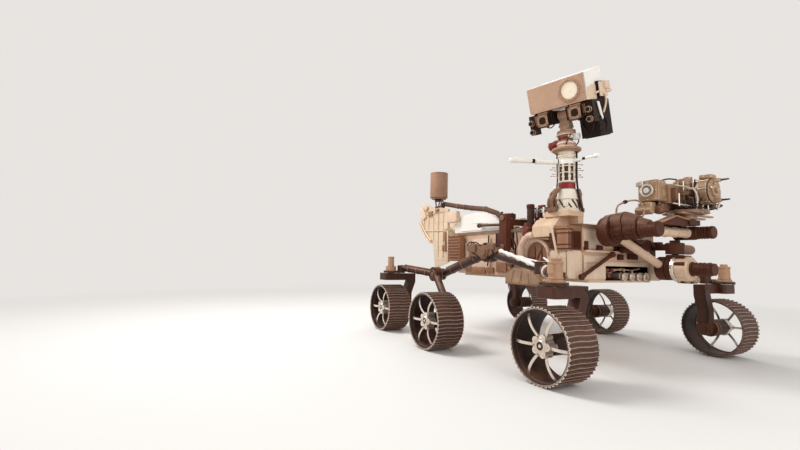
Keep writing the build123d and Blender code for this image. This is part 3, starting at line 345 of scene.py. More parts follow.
drill_dark = finish("drill_dark", (0.30, 0.22, 0.20), (0.20, 0.14, 0.13), 0.42, 0.4, 0.2, 0.9,
    (0.66, 0.58, 0.53), 0.35)
scanner_tan = finish("scanner_tan", (0.70, 0.60, 0.54), (0.52, 0.43, 0.385), 0.45, 0.2, 0.2, 0.7,
    (0.88, 0.8, 0.72), 0.3)
red_accent = finish("red_accent", (0.50, 0.09, 0.055), (0.38, 0.055, 0.035), 0.45, 0.1, 0.1, 0.5,
    (0.76, 0.36, 0.28), 0.3)
silver_bright = finish("silver_bright", (0.90, 0.88, 0.86), (0.76, 0.72, 0.68), 0.28, 0.75, 0.08, 0.7,
    (1.0, 1.0, 1.0), 0.2)
fin_grey = finish("fin_grey", (0.80, 0.76, 0.70), (0.66, 0.61, 0.55), 0.5, 0.1, 0.3, 0.6, (0.92, 0.9, 0.86), 0.3)
tube_pale = finish("tube_pale", (0.84, 0.77, 0.72), (0.66, 0.57, 0.52), 0.35, 0.5, 0.15, 0.8, (0.98, 0.95, 0.92), 0.2)
cable_black = finish("cable_black", (0.12, 0.09, 0.08), (0.08, 0.06, 0.06), 0.6, 0.0, 0.2, 0.1, grain=0.4)
window_pale = finish("window_pale", (1.0, 0.965, 0.91), (0.97, 0.92, 0.86), 0.16, 0.0, 0.02, 0.1,
    grain=0.05, coat=0.6)
# Near-black for the lenses, and for the front bay and slot as painted shade
lens_and_shade_dark = finish("lens_and_shade_dark", (0.035, 0.02, 0.02), (0.02, 0.012, 0.012), 0.34, 0.0, 0.0, 0.0, grain=0.02, coat=0.1)

motor_tan = finish("motor_tan", (0.72, 0.61, 0.545), (0.58, 0.475, 0.42), 0.48, 0.25, 0.2, 0.7,
    (0.80, 0.71, 0.65), 0.3)
elbow_brown = finish("elbow_brown", (0.40, 0.295, 0.245), (0.30, 0.21, 0.175), 0.55, 0.1, 0.12, 0.4,
    (0.66, 0.52, 0.45), 0.3)
column_dark = finish("column_dark", (0.34, 0.215, 0.185), (0.22, 0.13, 0.115), 0.55, 0.1, 0.2, 0.5,
    (0.56, 0.43, 0.37), 0.3)
foil_pale = finish("foil_pale", (0.76, 0.67, 0.60), (0.50, 0.41, 0.36), 0.36, 0.45, 0.08, 0.8,
    (0.96, 0.92, 0.88), 0.4)
door_tan = finish("door_tan", (0.56, 0.45, 0.39), (0.47, 0.36, 0.31), 0.55, 0.0, 0.2, 0.4, (0.80, 0.71, 0.65), 0.3)
duct_pale = finish("duct_pale", (0.90, 0.81, 0.77), (0.82, 0.72, 0.68), 0.5, 0.0, 0.15, 0.3, (0.97, 0.93, 0.90), 0.3)
root_brown = finish("root_brown", (0.44, 0.225, 0.165), (0.31, 0.145, 0.105), 0.55, 0.0, 0.15, 0.4,
    (0.62, 0.44, 0.36), 0.3)

dull_specular = 0.2
for dull in (box_black, bar_dark, lens_and_shade_dark, cable_black, arm_brown, column_dark):
    dull.node_tree.nodes["Principled BSDF"].inputs["Specular IOR Level"].default_value = dull_specular

# Finish of each CAD node that keeps its own shape
node_finish = {
    "steering_motors": motor_tan, "rocker_right": tube_brown, "rocker_left": tube_brown,
    "bogie_right": tube_brown, "bogie_left": tube_brown, "chassis": body_cream, "deck": deck_grey,
    "sample_tubes": tube_pale, "front_panels": panel_cream, "side_boxes": box_brown, "mast_box": shroud_cream,
    "side_arch": duct_pale, "arch_door": door_tan, "side_skirt": skirt_cream, "rear_cover": cover_white,
    "heat_exchangers": exchanger_cream, "rear_frame": leg_brown, "power_unit": fin_grey,
    "hose_arch": hose_brown, "relay_antenna": antenna_tan, "deck_instruments": canister_dark,
    "differential": column_dark, "mast_base": mast_white, "mast_tube": mast_white, "wind_booms": cover_white,
    "pan_head": head_beige, "camera_bar": bar_dark, "head_box": head_beige, "head_window": window_pale,
    "head_cover": cover_white, "head_rear_box": box_black, "arm_mount": arm_brown, "shoulder": arm_brown,
    "upper_arm": arm_cream, "forearm": arm_cream, "wrist": arm_brown, "turret_core": turret_grey,
    "turret_drill": drill_dark, "turret_instruments": scanner_tan, "antenna_post": arm_cream,
    "antenna_yoke": arm_cream, "antenna_plate": cover_white,
}
sides = ((-1, "right"), (1, "left"))
wheels = [(f"{end}_{name}", end, side) for end in ("front", "middle", "rear") for side, name in sides]
for wheel, end, _ in wheels:
    node_finish[f"wheel_{wheel}_hub"] = spoke_silver
    node_finish[f"wheel_{wheel}_rim"] = tread_metal
    if end != "middle":
        node_finish[f"steer_{wheel}_leg"] = leg_brown


def set_finish(node, material):
    """Give a CAD node its finish through its object's material slots."""
    for slot in node.material_slots:
        slot.material = material


for node_name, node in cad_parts.items():
    set_finish(node, node_finish[node_name])


# Shapes, as arrays of points and faces

def place(x, y, z):
    """A point in millimetres, x counted from the middle axle, in the scene's metres."""
    return np.array([middle_axle_x + x / 1000, y / 1000, z / 1000])


def across(direction):
    """Two unit vectors square to a direction, and the direction itself made a unit."""
    run = np.asarray(direction, float)
    run = run / np.linalg.norm(run)
    helper = np.array([0.0, 0.0, 1.0]) if abs(run[2]) < 0.9 else np.array([1.0, 0.0, 0.0])
    side = np.cross(helper, run)
    side = side / np.linalg.norm(side)
    return side, np.cross(run, side), run


def grid(points):
    """A grid of points as a shape: its rows joined by quads, and its columns closed into rings."""
    rows, columns = points.shape[:2]
    row, column = np.meshgrid(np.arange(rows - 1), np.arange(columns), indexing="ij")
    first = row * columns + column
    second = row * columns + (column + 1) % columns
    faces = np.stack([first, second, second + columns, first + columns], -1).reshape(-1, 4)
    return points.reshape(-1, 3), faces


def turned(profile, start, direction, sides=32):
    """A turned shape: pairs of distance along the axis and radius, in mm, carried round the axis as circles."""
    side, rise, run = across(direction)
    profile = np.array(profile, float) / 1000
    angle = np.linspace(0, 2 * pi, sides, endpoint=False)
    circle = np.cos(angle)[:, None] * side + np.sin(angle)[:, None] * rise
    return grid(start + profile[:, :1, None] * run + profile[:, 1:, None] * circle[None])


def drum(start, direction, length, radius, edge=3.0, sides=32):
    """A closed round drum with rounded rims, as the turned shape of its half section."""
    curve = np.linspace(0, pi / 2, 4)
    near = [(edge - edge * cos(a), radius - edge + edge * sin(a)) for a in curve]
    far = [(length - d, r) for d, r in near[::-1]]
    return turned([(0, 0)] + near + far + [(length, 0)], start, direction, sides)


def band(start, direction, low, high, radius, thick, sides=40):
    """A ring that stands on a round shape: a rounded rectangular section carried round the axis."""
    section = [(low, radius - 1), (low, radius + thick * 0.6), (low + thick * 0.4, radius + thick),
               (high - thick * 0.4, radius + thick), (high, radius + thick * 0.6), (high, radius - 1),
               (low, radius - 1)]
    return turned(section, start, direction, sides)


def slab(outline, origin, x_axis, y_axis, thickness, edge=2.0):
    """A flat piece with eased edges: its outline, in mm, is drawn in towards its middle by a quarter circle at
    both faces, and both faces close on the middle."""
    outline = np.array(outline, float)
    middle = outline.mean(0)
    reach = np.abs(outline - middle).max()
    x_axis, y_axis = np.asarray(x_axis, float), np.asarray(y_axis, float)
    normal = np.cross(x_axis, y_axis)
    curve = np.linspace(0, pi / 2, 4)
    inset = np.concatenate([[reach], edge * (1 - np.sin(curve)), edge * (1 - np.sin(curve[::-1])), [reach]])
    height = np.concatenate([[0], edge * (1 - np.cos(curve)), thickness - edge * (1 - np.cos(curve[::-1])),
        [thickness]])
    share = 1 - inset / reach
    flat = middle + share[:, None, None] * (outline - middle)[None]
    points = origin + (flat[..., :1] * x_axis + flat[..., 1:] * y_axis + height[:, None, None] * normal) / 1000
    return grid(points)


def rounded(width, height, corner):
    """The outline of a rectangle about its middle, in mm, with quarter circles at its corners."""
    points = []
    for index, (sx, sy) in enumerate(((1, 1), (-1, 1), (-1, -1), (1, -1))):
        angle = np.linspace(0, pi / 2, 4) + index * pi / 2
        points += [(sx * (width / 2 - corner) + corner * cos(a), sy * (height / 2 - corner) + corner * sin(a))
                   for a in angle]
    return points


def block(centre, x_axis, y_axis, size, corner=6.0, edge=3.0):
    """A box about its centre with round corners and eased edges, from its three sizes in mm."""
    x_axis, y_axis = np.asarray(x_axis, float), np.asarray(y_axis, float)
    normal = np.cross(x_axis, y_axis)
    corner = min(corner, size[0] / 2.1, size[1] / 2.1)
    edge = min(edge, size[2] / 2.2)
    return slab(rounded(size[0], size[1], corner), centre - normal * size[2] / 2000, x_axis, y_axis, size[2], edge)


def smooth_path(points, count=40):
    """A path through the given points by cubic Hermite arcs whose slopes come from the neighbouring points."""
    points = np.array(points, float)
    slope = np.gradient(points, axis=0)
    spot = np.linspace(0, len(points) - 1, count)
    index = np.minimum(spot.astype(int), len(points) - 2)
    t = (spot - index)[:, None]
    a, b, da, db = points[index], points[index + 1], slope[index], slope[index + 1]
    return (2 * t**3 - 3 * t**2 + 1) * a + (t**3 - 2 * t**2 + t) * da + (3 * t**2 - 2 * t**3) * b + (t**3 - t**2) * db


def pipe(path, radius, sides=12):
    """A round section carried along a path in metres, its radius in mm, with both ends closed."""
    path = np.array(path, float)
    tangent = np.gradient(path, axis=0)
    tangent = tangent / np.linalg.norm(tangent, axis=1)[:, None]
    spread = path - path.mean(0)
    helper = np.linalg.svd(spread, full_matrices=True)[2][2]
    side = np.cross(tangent, helper)
    side = side / np.linalg.norm(side, axis=1)[:, None]
    rise = np.cross(tangent, side)
    angle = np.linspace(0, 2 * pi, sides, endpoint=False)
    ring = np.cos(angle)[None, :, None] * side[:, None] + np.sin(angle)[None, :, None] * rise[:, None]
    size = np.broadcast_to(np.asarray(radius, float) / 1000, (len(path),))[:, None, None]
    tube = path[:, None] + size * ring
    ends = np.repeat(path[[0, -1]][:, None], sides, axis=1)
    return grid(np.concatenate([ends[:1], tube, ends[1:]]))


def bolts(centres, direction, radius, height, sides=6):
    """Bolt heads with a small dome, one at each centre, pointing along a direction."""
    shapes = []
    for centre in centres:
        shapes.append(turned([(-1, 0), (-1, radius), (height * 0.7, radius), (height, radius * 0.7), (height, 0)],
                             centre, direction, sides))
    return shapes


def circle_points(centre, direction, radius, count, phase=0.0):
    """Points spread evenly on a circle round an axis, its radius in mm."""
    side, rise, run = across(direction)
    angle = phase + np.arange(count) * 2 * pi / count
    return centre + radius / 1000 * (np.cos(angle)[:, None] * side + np.sin(angle)[:, None] * rise)


weld_distance = 2e-6
sharp_angle = radians(32)


def piece(name, material, shapes, body="rover"):
    """One piece from its shapes: points merged where they meet, faces outwards, edges past the sharp angle sharp."""
    points, faces, offset = [], [], 0
    for vertices, quads in shapes:
        points.append(vertices)
        faces.append(quads + offset)
        offset += len(vertices)
    mesh = bpy.data.meshes.new(name)
    mesh.from_pydata(np.concatenate(points).tolist(), [], np.concatenate(faces).tolist())
    work = bmesh.new()
    work.from_mesh(mesh)
    bmesh.ops.remove_doubles(work, verts=work.verts, dist=weld_distance)
    bmesh.ops.dissolve_degenerate(work, edges=work.edges, dist=weld_distance)
    bmesh.ops.recalc_face_normals(work, faces=work.faces)
    work.to_mesh(mesh)
    work.free()
    mesh.shade_smooth()
    mesh.set_sharp_from_angle(angle=sharp_angle)
    made = bpy.data.objects.new(name, mesh)
    bpy.context.scene.collection.objects.link(made)
    mesh.materials.append(material)
    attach(made, body)
    return made


def unit(*direction):
    """A direction of length one."""
    run = np.array(direction, float)
    return run / np.linalg.norm(run)


def level(angle):
    """A level direction by its angle from ahead towards the left."""
    return np.array([cos(angle), sin(angle), 0])


def upright(angle):
    """A direction across the rover by its angle from the left upwards."""
    return np.array([0, cos(angle), sin(angle)])


ahead_x, left_y, up_z = unit(1, 0, 0), unit(0, 1, 0), unit(0, 0, 1)
down_y = -left_y


def side_block(x, y, z, size, corner=6.0, edge=3.0):
    """A block about a place, its sizes given ahead, upwards and across."""
    return block(place(x, y, z), ahead_x, up_z, size, corner, edge)


def deck_block(x, y, z, size, corner=6.0, edge=3.0):
    """A block about a place, its sizes given ahead, to the left and upwards."""
    return block(place(x, y, z), ahead_x, left_y, size, corner, edge)


def front_block(x, y, z, size, corner=6.0, edge=3.0):
    """A block about a place, its sizes given to the left, upwards and ahead."""
    return block(place(x, y, z), left_y, up_z, size, corner, edge)


def hose(points, count, radius, sides=8):
    """A pipe along a smooth path through the given points."""
    return pipe(smooth_path(points, count), radius, sides)


def bands(start, direction, lows, width, *rest):
    """Rings of one width that stand on a round shape, each from its own distance."""
    return [band(start, direction, low, low + width, *rest) for low in lows]


def bolt_ring(centre, direction, circle, count, radius, height, phase=0.0):
    """Bolts on a circle round an axis, pointing along it."""
    return bolts(circle_points(centre, direction, circle, count, phase), direction, radius, height)


# Wheels, in mm: skin, ridges and tread; the angle wave of a ridge is in radians
skin_radius = 251.5
ridge_height = 11.0
tooth_height = 8.5
ridge_count = 48
half_width = 142.0
wheel_height = 262.5
wave_size = 0.009
wheel_place = {"front": (1277, 1118), "middle": (0, 1225), "rear": (-1133, 1118)}


def wave(width):
    """Angle by which a ridge is shifted at a distance from the wheel's middle: 0.009 sin(2.6 pi w / 284)."""
    return wave_size * sin(2.6 * pi * width / (2 * half_width))


def wheel_ring(centre, outward, width, radius, angle):
    """Points round the wheel at a distance from its middle, from their radii in mm and their angles."""
    side, rise, run = across(outward)
    across_wheel = (radius / 1000 * np.cos(angle))[:, None] * side
    return centre + run * width / 1000 + across_wheel + (radius / 1000 * np.sin(angle))[:, None] * rise


def tread_shape(centre, outward):
    """Wheel skin: r(a, w) = 251.5 mm + 11 mm on each of 48 ridges, whose angle follows the wave across the width w,
    closed through a thin wall and a lip."""
    offsets = np.array([-0.36, -0.13, -0.055, 0.055, 0.13, 0.36])
    raised = np.array([0.0, 0.0, 1.0, 1.0, 0.0, 0.0])
    pitch = 2 * pi / ridge_count
    angle = (np.arange(ridge_count)[:, None] + offsets[None]).ravel() * pitch
    ridge = np.tile(raised, ridge_count)
    outer = np.array([-142, -139, -118, -96, -74, -52, -30, -8, 14, 36, 58, 80, 102, 122, 139, 142.0])
    lift = np.array([0.55] + [1.0] * 14 + [0.55])
    rows = []
    for width, height in zip(outer, lift):
        rows.append((width, skin_radius + ridge_height * height * ridge, angle + wave(width)))
    end_shift = wave(half_width)
    for width, radius in ((142, 247), (136, 245), (-136, 245), (-142, 247)):
        rows.append((width, np.full(len(angle), float(radius)), angle + end_shift * (1 if width > 0 else -1)))
    rows.append(rows[0])
    return grid(np.array([wheel_ring(centre, outward, *row) for row in rows]))


def toothed_ring(centre, outward):
    """Bright edge of the skin: a thin ring whose outer radius steps up by 8.5 mm on each of the 48 ridge ends."""
    offsets = np.array([-0.26, -0.25, 0.25, 0.26])
    pitch = 2 * pi / ridge_count
    angle = (np.arange(ridge_count)[:, None] + offsets[None]).ravel() * pitch + wave(half_width)
    tooth = np.tile([0.0, 1.0, 1.0, 0.0], ridge_count) * tooth_height
    rows = []
    for width, inner in ((137.5, True), (137.5, False), (141.95, False), (141.95, True), (137.5, True)):
        radius = np.full(len(angle), 245.5) if inner else 252.5 + tooth
        rows.append(wheel_ring(centre, outward, width, radius, angle))
    return grid(np.array(rows))


for wheel, end, side in wheels:
    wheel_x, wheel_y = wheel_place[end]
    outward = unit(0, side, 0)
    centre = place(wheel_x, side * wheel_y, wheel_height)
    rim_body = f"wheel_{wheel}"
    tread = piece(f"tread_{wheel}", tread_metal, [tread_shape(centre, outward)], rim_body)
    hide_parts(f"wheel_{wheel}_rim")
    spots = np.empty(len(tread.data.vertices) * 3)
    tread.data.vertices.foreach_get("co", spots)
    spots = spots.reshape(-1, 3) - centre
    crest = np.clip((np.hypot(spots[:, 0], spots[:, 2]) * 1000 - skin_radius) / ridge_height, 0, 1)
    tread.data.attributes.new("crest", "FLOAT", "POINT").data.foreach_set("value", crest)
    piece(f"tread_edge_{wheel}", spoke_silver, [toothed_ring(centre, outward)], rim_body)
    # The lining inside the skin is drawn very dark: painted shade inside the wheel
    lining = [(-139, 245.4), (-139, 241), (-132, 238), (-60, 240), (40, 240), (84, 240), (88, 235), (102, 235),
              (106, 240), (128, 240), (131, 236), (137, 236), (138, 245.4), (-139, 245.4)]
    piece(f"wheel_shade_lining_{wheel}", wheel_inside_shade, [turned(lining, centre, outward, 96)], rim_body)
    face = centre + outward * 0.118
    rings = [band(face, outward, -2, 5, 30, 9), band(face, outward, -3, 3, 53, 4, 48)]
    lobes = circle_points(face, outward, 56, 5)
    rings += bolt_ring(face, outward, 47, 10, 4.2, 4, 0.3)
    rings += bolts(lobes, outward, 9, 5, 8)
    rings += [drum(face - outward * 0.002, outward, 9, 12, 2, 16)]
    piece(f"hub_rings_{wheel}", silver_bright, rings, rim_body)
    # Dark disc at the hub's centre and dark spots between the bright lobes: painted shade in the hub's hollows
    dark = [drum(face - outward * 0.002, outward, 4, 29, 1.5)]
    for lobe in circle_points(face, outward, 56, 5, pi / 5):
        dark.append(drum(lobe - outward * 0.002, outward, 3.5, 8, 1, 12))
    piece(f"hub_centre_{wheel}", wheel_inside_shade, dark, rim_body)

# Corner legs, steering flanges and motors
for wheel, end, side in wheels:
    wheel_x, wheel_y = wheel_place[end]
    outward, inward = unit(0, side, 0), unit(0, -side, 0)
    drive_inner = {"front": 851, "rear": 851, "middle": 985}[end]
    body = "rover" if end == "middle" else f"knuckle_{wheel}"
    foot = place(wheel_x, side * drive_inner, wheel_height)
    shapes = bolt_ring(foot, inward, 50, 8, 4.5, 4)
    shapes += [band(foot, inward, -1, 6, 42, 4)]
    outer_face = foot + outward * 0.084
    shapes += [band(outer_face, outward, 12, 26, 72, 5), band(outer_face, outward, 60, 70, 72, 4)]
    piece(f"drive_bolts_{wheel}", motor_brown, shapes, body)
    if end == "middle":
        continue
    arm_x = 1 if end == "front" else -1
    arm_top = place(wheel_x, side * wheel_y, 660)
    shapes = bolts([arm_top + np.array([arm_x * dx, dy, 0]) / 1000 for dx in (96, -48)
        for dy in (-84, 84)], up_z, 6, 5)
    cable = smooth_path([
        place(wheel_x + arm_x * 46, side * 838, 640), place(wheel_x + arm_x * 46, side * 796, 590),
        place(wheel_x + arm_x * 44, side * 812, 480), place(wheel_x + arm_x * 40, side * 843, 400),
        place(wheel_x + arm_x * 30, side * 845, 330),
    ], 36)
    piece(f"leg_cable_{wheel}", cable_black, [pipe(cable, 7, 8)], body)
    piece(f"arm_bolts_{wheel}", motor_brown, shapes, body)
    flange = place(wheel_x, side * wheel_y, 688)
    shapes = bolt_ring(flange, up_z, 78, 16, 4.5, 5)
    shapes += [band(flange, up_z, 6, 12, 62, 4)]
    if end == "front":
        motor = place(wheel_x + 53, side * (wheel_y + 25), 708)
        shapes += bolt_ring(motor - up_z * 0.02, up_z, 72, 12, 4.5, 5, 0.2)
        shapes += [band(motor, up_z, 4, 16, 47, 5), band(motor, up_z, 60, 66, 47, 3),
                   band(motor, up_z, 106, 120, 47, 5)]
        shapes += [block(motor + np.array([0.0, side * 0.05, 0.07]), ahead_x, up_z, (46, 62, 16), 5, 3)]
        top = motor + up_z * 0.142
    else:
        motor = place(wheel_x, side * wheel_y, 742)
        shapes += [band(motor, up_z, 2, 14, 36, 5), band(motor, up_z, 50, 56, 36, 3),
                   band(motor, up_z, 100, 113, 36, 3)]
        top = motor + up_z * 0.115
    shapes += bolt_ring(top, up_z, 18, 5, 3, 3)
    piece(f"steering_rings_{wheel}", motor_tan, shapes)

# Rocker bundles, drawn white along the tubes' tops as cables and partly as a painted highlight, pivot covers and
# bolts
for side, side_name in sides:
    # The white pipes along each tube's top are a cable bundle and partly a painted highlight of the tube's lit top
    start = place(250, side * 790, 910)
    knee = place(930, side * 845, 780)
    run = unit(*(knee - start))
    rise = unit(*(up_z - run * run[2]))
    share = np.linspace(0.13, 0.965, 60)
    lump = 17 + 4.5 * np.sin(share * 31) + 2.5 * np.sin(share * 67 + 1)
    lift = 0.047 + 0.003 * np.sin(share * 23)
    roll = np.linspace(0.1, 1.25, 60)
    path = start + share[:, None] * (knee - start)
    path = path + (lift * np.cos(roll))[:, None] * rise + (side * lift * np.sin(roll))[:, None] * left_y
    lump[-1] = 10
    lit_top_bundle = [pipe(path, lump, 14)]
    second = start + share[:, None] * (knee - start) + 0.044 * rise + side * 0.024 * left_y * np.ones((60, 1))
    lit_top_bundle += [pipe(second + 0.003 * np.sin(share * 29)[:, None] * up_z, 9 + 2 * np.sin(share * 40), 10)]
    top = knee + up_z * 0.05
    front_tube = place(1235, side * 1000, 720) - knee
    lit_top_bundle += [band(knee + 0.40 * front_tube, unit(*front_tube), -9, 9, 38, 12, 36)]
    ends = smooth_path([top + np.array([0.03, 0, 0.03]), top + np.array([0.12, side * 0.05, 0.0]),
                        top + np.array([0.22, side * 0.12, -0.05]), place(1210, side * 1020, 764)], 26)
    lit_top_bundle += [pipe(ends, 8, 10)]
    piece(f"cable_bundle_highlight_{side_name}", cover_white, lit_top_bundle)
    # Pivot: a bracket plate with drums, boxes and bolts round the rocker's shaft
    hub = place(250, side * 835, 910)
    outward = unit(0, side, 0)
    piece(f"pivot_cover_{side_name}", motor_brown, [
        side_block(196, side * 846, 930, (330, 112, 24), 24, 5),
        drum(hub, outward, 34, 66, 6),
        drum(hub + outward * 0.03, outward, 16, 42, 5),
        side_block(92, side * 852, 950, (92, 84, 44), 10, 6),
        side_block(348, side * 850, 962, (96, 60, 36), 8, 5),
        drum(place(30, side * 800, 950), outward, 66, 34, 5),
        side_block(60, side * 812, 905, (140, 70, 50), 10, 6),
        drum(place(400, side * 815, 930), outward, 40, 26, 4),
        *bolt_ring(hub + outward * 0.034, outward, 55, 10, 4, 4),
        *bolts([place(x, side * 858, z) for x, z in (
            (50, 888), (150, 976), (230, 982), (340, 888), (352, 926))], outward, 5, 5)])
    piece(f"pivot_cables_{side_name}", cable_black, [
        hose([place(x, side * 858, z) for x, z in loop], 30, 6) for loop in (
            ((30, 960), (70, 1004), (150, 1000), (210, 972), (300, 990), (380, 966)),
            ((48, 930), (110, 896), (190, 866), (300, 862), (390, 898)),
            ((120, 985), (60, 1012), (10, 988), (-4, 940)))])
    bogie_hub = place(-567, side * 891, 672)
    piece(f"bogie_cap_{side_name}", motor_brown, [
        *bolt_ring(bogie_hub, outward, 60, 10, 5, 4),
        band(bogie_hub, outward, -2, 6, 40, 6),
        drum(bogie_hub - outward * 0.002, outward, 12, 24, 3, 20),
        band(place(-567, side * 808, 672), outward, 0, 10, 78, 3, 48)])
    for index, (radius, *tube_ends) in enumerate((
            (42, (250, 790, 910), (-567, 756, 672)), (36, (930, 845, 780), (1235, 1000, 720)),
            (36, (-567, 848, 672), (-1091, 1000, 726)))):
        low, high = [place(x, side * y, z) for x, y, z in tube_ends]
        along = unit(*(high - low))
        clips = [band(low + share * (high - low), along, -5, 5, radius, 4) for share in (0.25, 0.5, 0.75)]
        lift = unit(*(up_z - along * along[2])) * (radius + 7) / 1000
        share = np.linspace(0.12, 0.9, 30)[:, None]
        clips += [pipe(low + share * (high - low) + lift, 7, 8)]
        piece(f"tube_clips_{side_name}_{index + 1}", motor_brown, clips)


def slats(start, step, count, x_axis, y_axis, size, corner=2.0, edge=1.5):
    """A row of like flat blocks, each a step in mm past the last."""
    return [block(start + np.array(step) * index / 1000, x_axis, y_axis, size, corner, edge)
            for index in range(count)]


def corner_bolts(centre, x_axis, y_axis, width, height, direction, radius=5.0, lift=4.0, along=2, up=2):
    """Bolts on a rectangle's edge, evenly along both pairs of sides."""
    spots = []
    for a in np.linspace(-0.5, 0.5, along + 1):
        for b in (-0.5, 0.5):
            spots.append(centre + a * width / 1000 * np.asarray(x_axis) + b * height / 1000 * np.asarray(y_axis))
    for b in np.linspace(-0.5, 0.5, up + 1)[1:-1]:
        for a in (-0.5, 0.5):
            spots.append(centre + a * width / 1000 * np.asarray(x_axis) + b * height / 1000 * np.asarray(y_axis))
    return bolts(spots, direction, radius, lift)


def side_bolts(x, y, z, width, height, *rest):
    """Corner bolts on a right side panel, about a place."""
    return corner_bolts(place(x, y, z), ahead_x, up_z, width, height, down_y, *rest)


def front_bolts(x, y, z, width, height, *rest):
    """Corner bolts on a panel that faces ahead, about a place."""
    return corner_bolts(place(x, y, z), left_y, up_z, width, height, ahead_x, *rest)


# Right side of the body: panels, ribs, cables and the fixtures on the deck's edge
piece("side_panel", panel_cream, [
    side_block(-210, -504, 905, (300, 330, 9), 14, 3),
    side_block(-440, -505, 910, (120, 250, 12), 10, 3),
    *side_bolts(-210, -508, 905, 276, 306, 5, 4, 4, 4)])
piece("side_recess", arm_brown, [
    side_block(150, -507, 1010, (250, 215, 14), 16, 4),
    side_block(110, -520, 1040, (92, 130, 28), 10, 5),
    side_block(220, -518, 985, (74, 150, 22), 8, 5),
    *slats(place(50, -520, 935), (34, 0, 0), 8, ahead_x, up_z, (10, 60, 22))])
piece("side_cables", cable_black, [
    hose([place(x, -528, z) for x, z in run], 34, radius) for radius, run in (
        (8, ((300, 1112), (296, 1040), (330, 980), (322, 900), (360, 840))),
        (6, ((60, 1110), (52, 1030), (70, 960), (40, 900), (0, 850))),
        (7, ((-60, 1100), (-66, 1010), (-60, 880), (-80, 780))),
        (5, ((340, 1110), (352, 1030), (366, 960), (380, 850))))])
piece("side_low_boxes", box_brown, [
    *[side_block(x, -508, z, (w, h, 18), 6, 3) for x, z, w, h in (
        (-250, 728, 230, 76), (-60, 735, 110, 60), (110, 770, 150, 96), (250, 730, 90, 70), (-420, 740, 96, 60))],
    *side_bolts(-250, -517, 728, 210, 58, 4, 3, 3, 1)])
piece("side_drums", motor_brown, [
    *[drum(place(x, -502, z), down_y, 26, r, 4, 24) for x, z, r in ((250, 800, 30), (340, 742, 24), (318, 690, 20))],
    side_block(352, -530, 700, (60, 110, 50), 10, 5)])

# Deck: bright thermal boxes, fixtures and pipes along its right edge
piece("deck_boxes", cover_white, [
    deck_block(x, y, z, size, 10, 5) for x, y, z, size in (
        (330, -470, 1196, (96, 60, 88)), (400, -500, 1182, (60, 44, 62)), (286, -440, 1185, (50, 70, 66)),
        (440, -420, 1190, (70, 60, 76)), (640, -250, 1186, (200, 140, 70)), (240, 200, 1180, (160, 120, 56)),
        (-380, 330, 1190, (180, 150, 76)), (760, 120, 1184, (130, 180, 64)))])
piece("deck_pipe", tube_pale, [
    pipe([place(278, -505, 1172), place(400, -505, 1171), place(520, -505, 1168)], 8, 10),
    hose([place(520, -505, 1168), place(560, -490, 1160), place(640, -440, 1162), place(760, -420, 1160)], 20, 8, 10),
    *[deck_block(x, -505, 1164, (14, 26, 28), 4, 3) for x in (300, 372, 440, 500)]])
piece("deck_fixtures", deck_grey, [
    *[drum(place(x, y, 1149), up_z, h, r, 3, 20) for x, y, h, r in (
        (470, -470, 26, 12), (500, -380, 40, 16), (96, -470, 44, 12), (-560, -300, 30, 30), (-500, 60, 26, 40),
        (520, 300, 36, 34), (900, 300, 40, 40), (900, 60, 30, 24))],
    *bolts([place(x, y, 1150) for x in np.linspace(-600, 1030, 15) for y in (-498, 498)], up_z, 6, 4),
    *bolts([place(x, y, 1150) for x in (-618, 1048) for y in np.linspace(-430, 430, 9)], up_z, 6, 4)])
piece("deck_cables", cable_black, [
    hose([place(*p) for p in run], 40, 7) for run in (
        ((-560, -250, 1158), (-300, -290, 1160), (0, -270, 1158), (240, -300, 1160), (380, -240, 1158),
        (560, -250, 1160)), ((-560, -220, 1158), (-300, -262, 1160), (0, -240, 1158), (200, -150, 1158),
        (330, -90, 1160)), ((500, 40, 1158), (620, 20, 1160), (760, -60, 1158), (900, -200, 1158), (930, -360, 1160),
        (930, -440, 1216)))])

# Payload post, canister and deck cameras
payload_post, canister = place(550, -560, 0), place(211, -500, 0)
piece("dark_caps", arm_brown, [
    drum(payload_post + up_z * 1.318, up_z, 40, 36, 6, 24),
    band(payload_post + up_z * 1.24, up_z, 0, 8, 32, 3),
    band(payload_post + up_z * 1.18, up_z, 0, 10, 32, 4),
    drum(canister + up_z * 1.238, up_z, 66, 64.5, 8),
    band(canister + up_z * 1.224, up_z, 0, 10, 61, 4)])
piece("canister_bands", arm_brown, [
    band(canister + up_z * 1.16, up_z, 0, 8, 61, 3, 40),
    band(canister + up_z * 1.196, up_z, 0, 8, 61, 3, 40),
    *bolt_ring(canister + up_z * 1.304, up_z, 48, 8, 4, 4),
    pipe([place(270, -500, 1150), place(268, -500, 1270), place(250, -500, 1312)], 5, 8)])
eyes = [(direction, spot) for x in (531, 611) for direction, spot in (
    (down_y, place(x, -490, 1300)), (ahead_x, place(x + 25, -455, 1300)))]
piece("camera_rings", cover_white, [
    *[band(spot, direction, -1, 5, 13, 5, 20) for direction, spot in eyes],
    *[side_block(x, -497, 1284, (w, 88, 12), 3, 2) for x, w in ((571, 14), (648, 18))]])
piece("camera_lenses", lens_and_shade_dark, [drum(spot, direction, 4, 12, 1.5, 20) for direction, spot in eyes])
piece("camera_blocks", root_brown, [
    *[side_block(x, -498, z, (w, h, 14), 3, 2) for x, z, w, h in (
        (594, 1262, 24, 60), (668, 1270, 16, 70), (548, 1250, 18, 40))],
    deck_block(600, -470, 1344, (70, 30, 20), 4, 3)])
piece("hose_knobs", cable_black, [
    drum(place(-196, -540, 1209), -ahead_x, 20, 25, 8, 20),
    turned([(-1, 0), (-1, 6), (8, 6), (10, 12), (20, 13), (26, 8), (27, 0)], place(96, -490, 1312), up_z, 20),
    turned([(0, 0), (2, 14), (12, 20), (24, 14), (26, 0)], place(-192, -540, 1211) - ahead_x * 0.012, ahead_x, 20)])
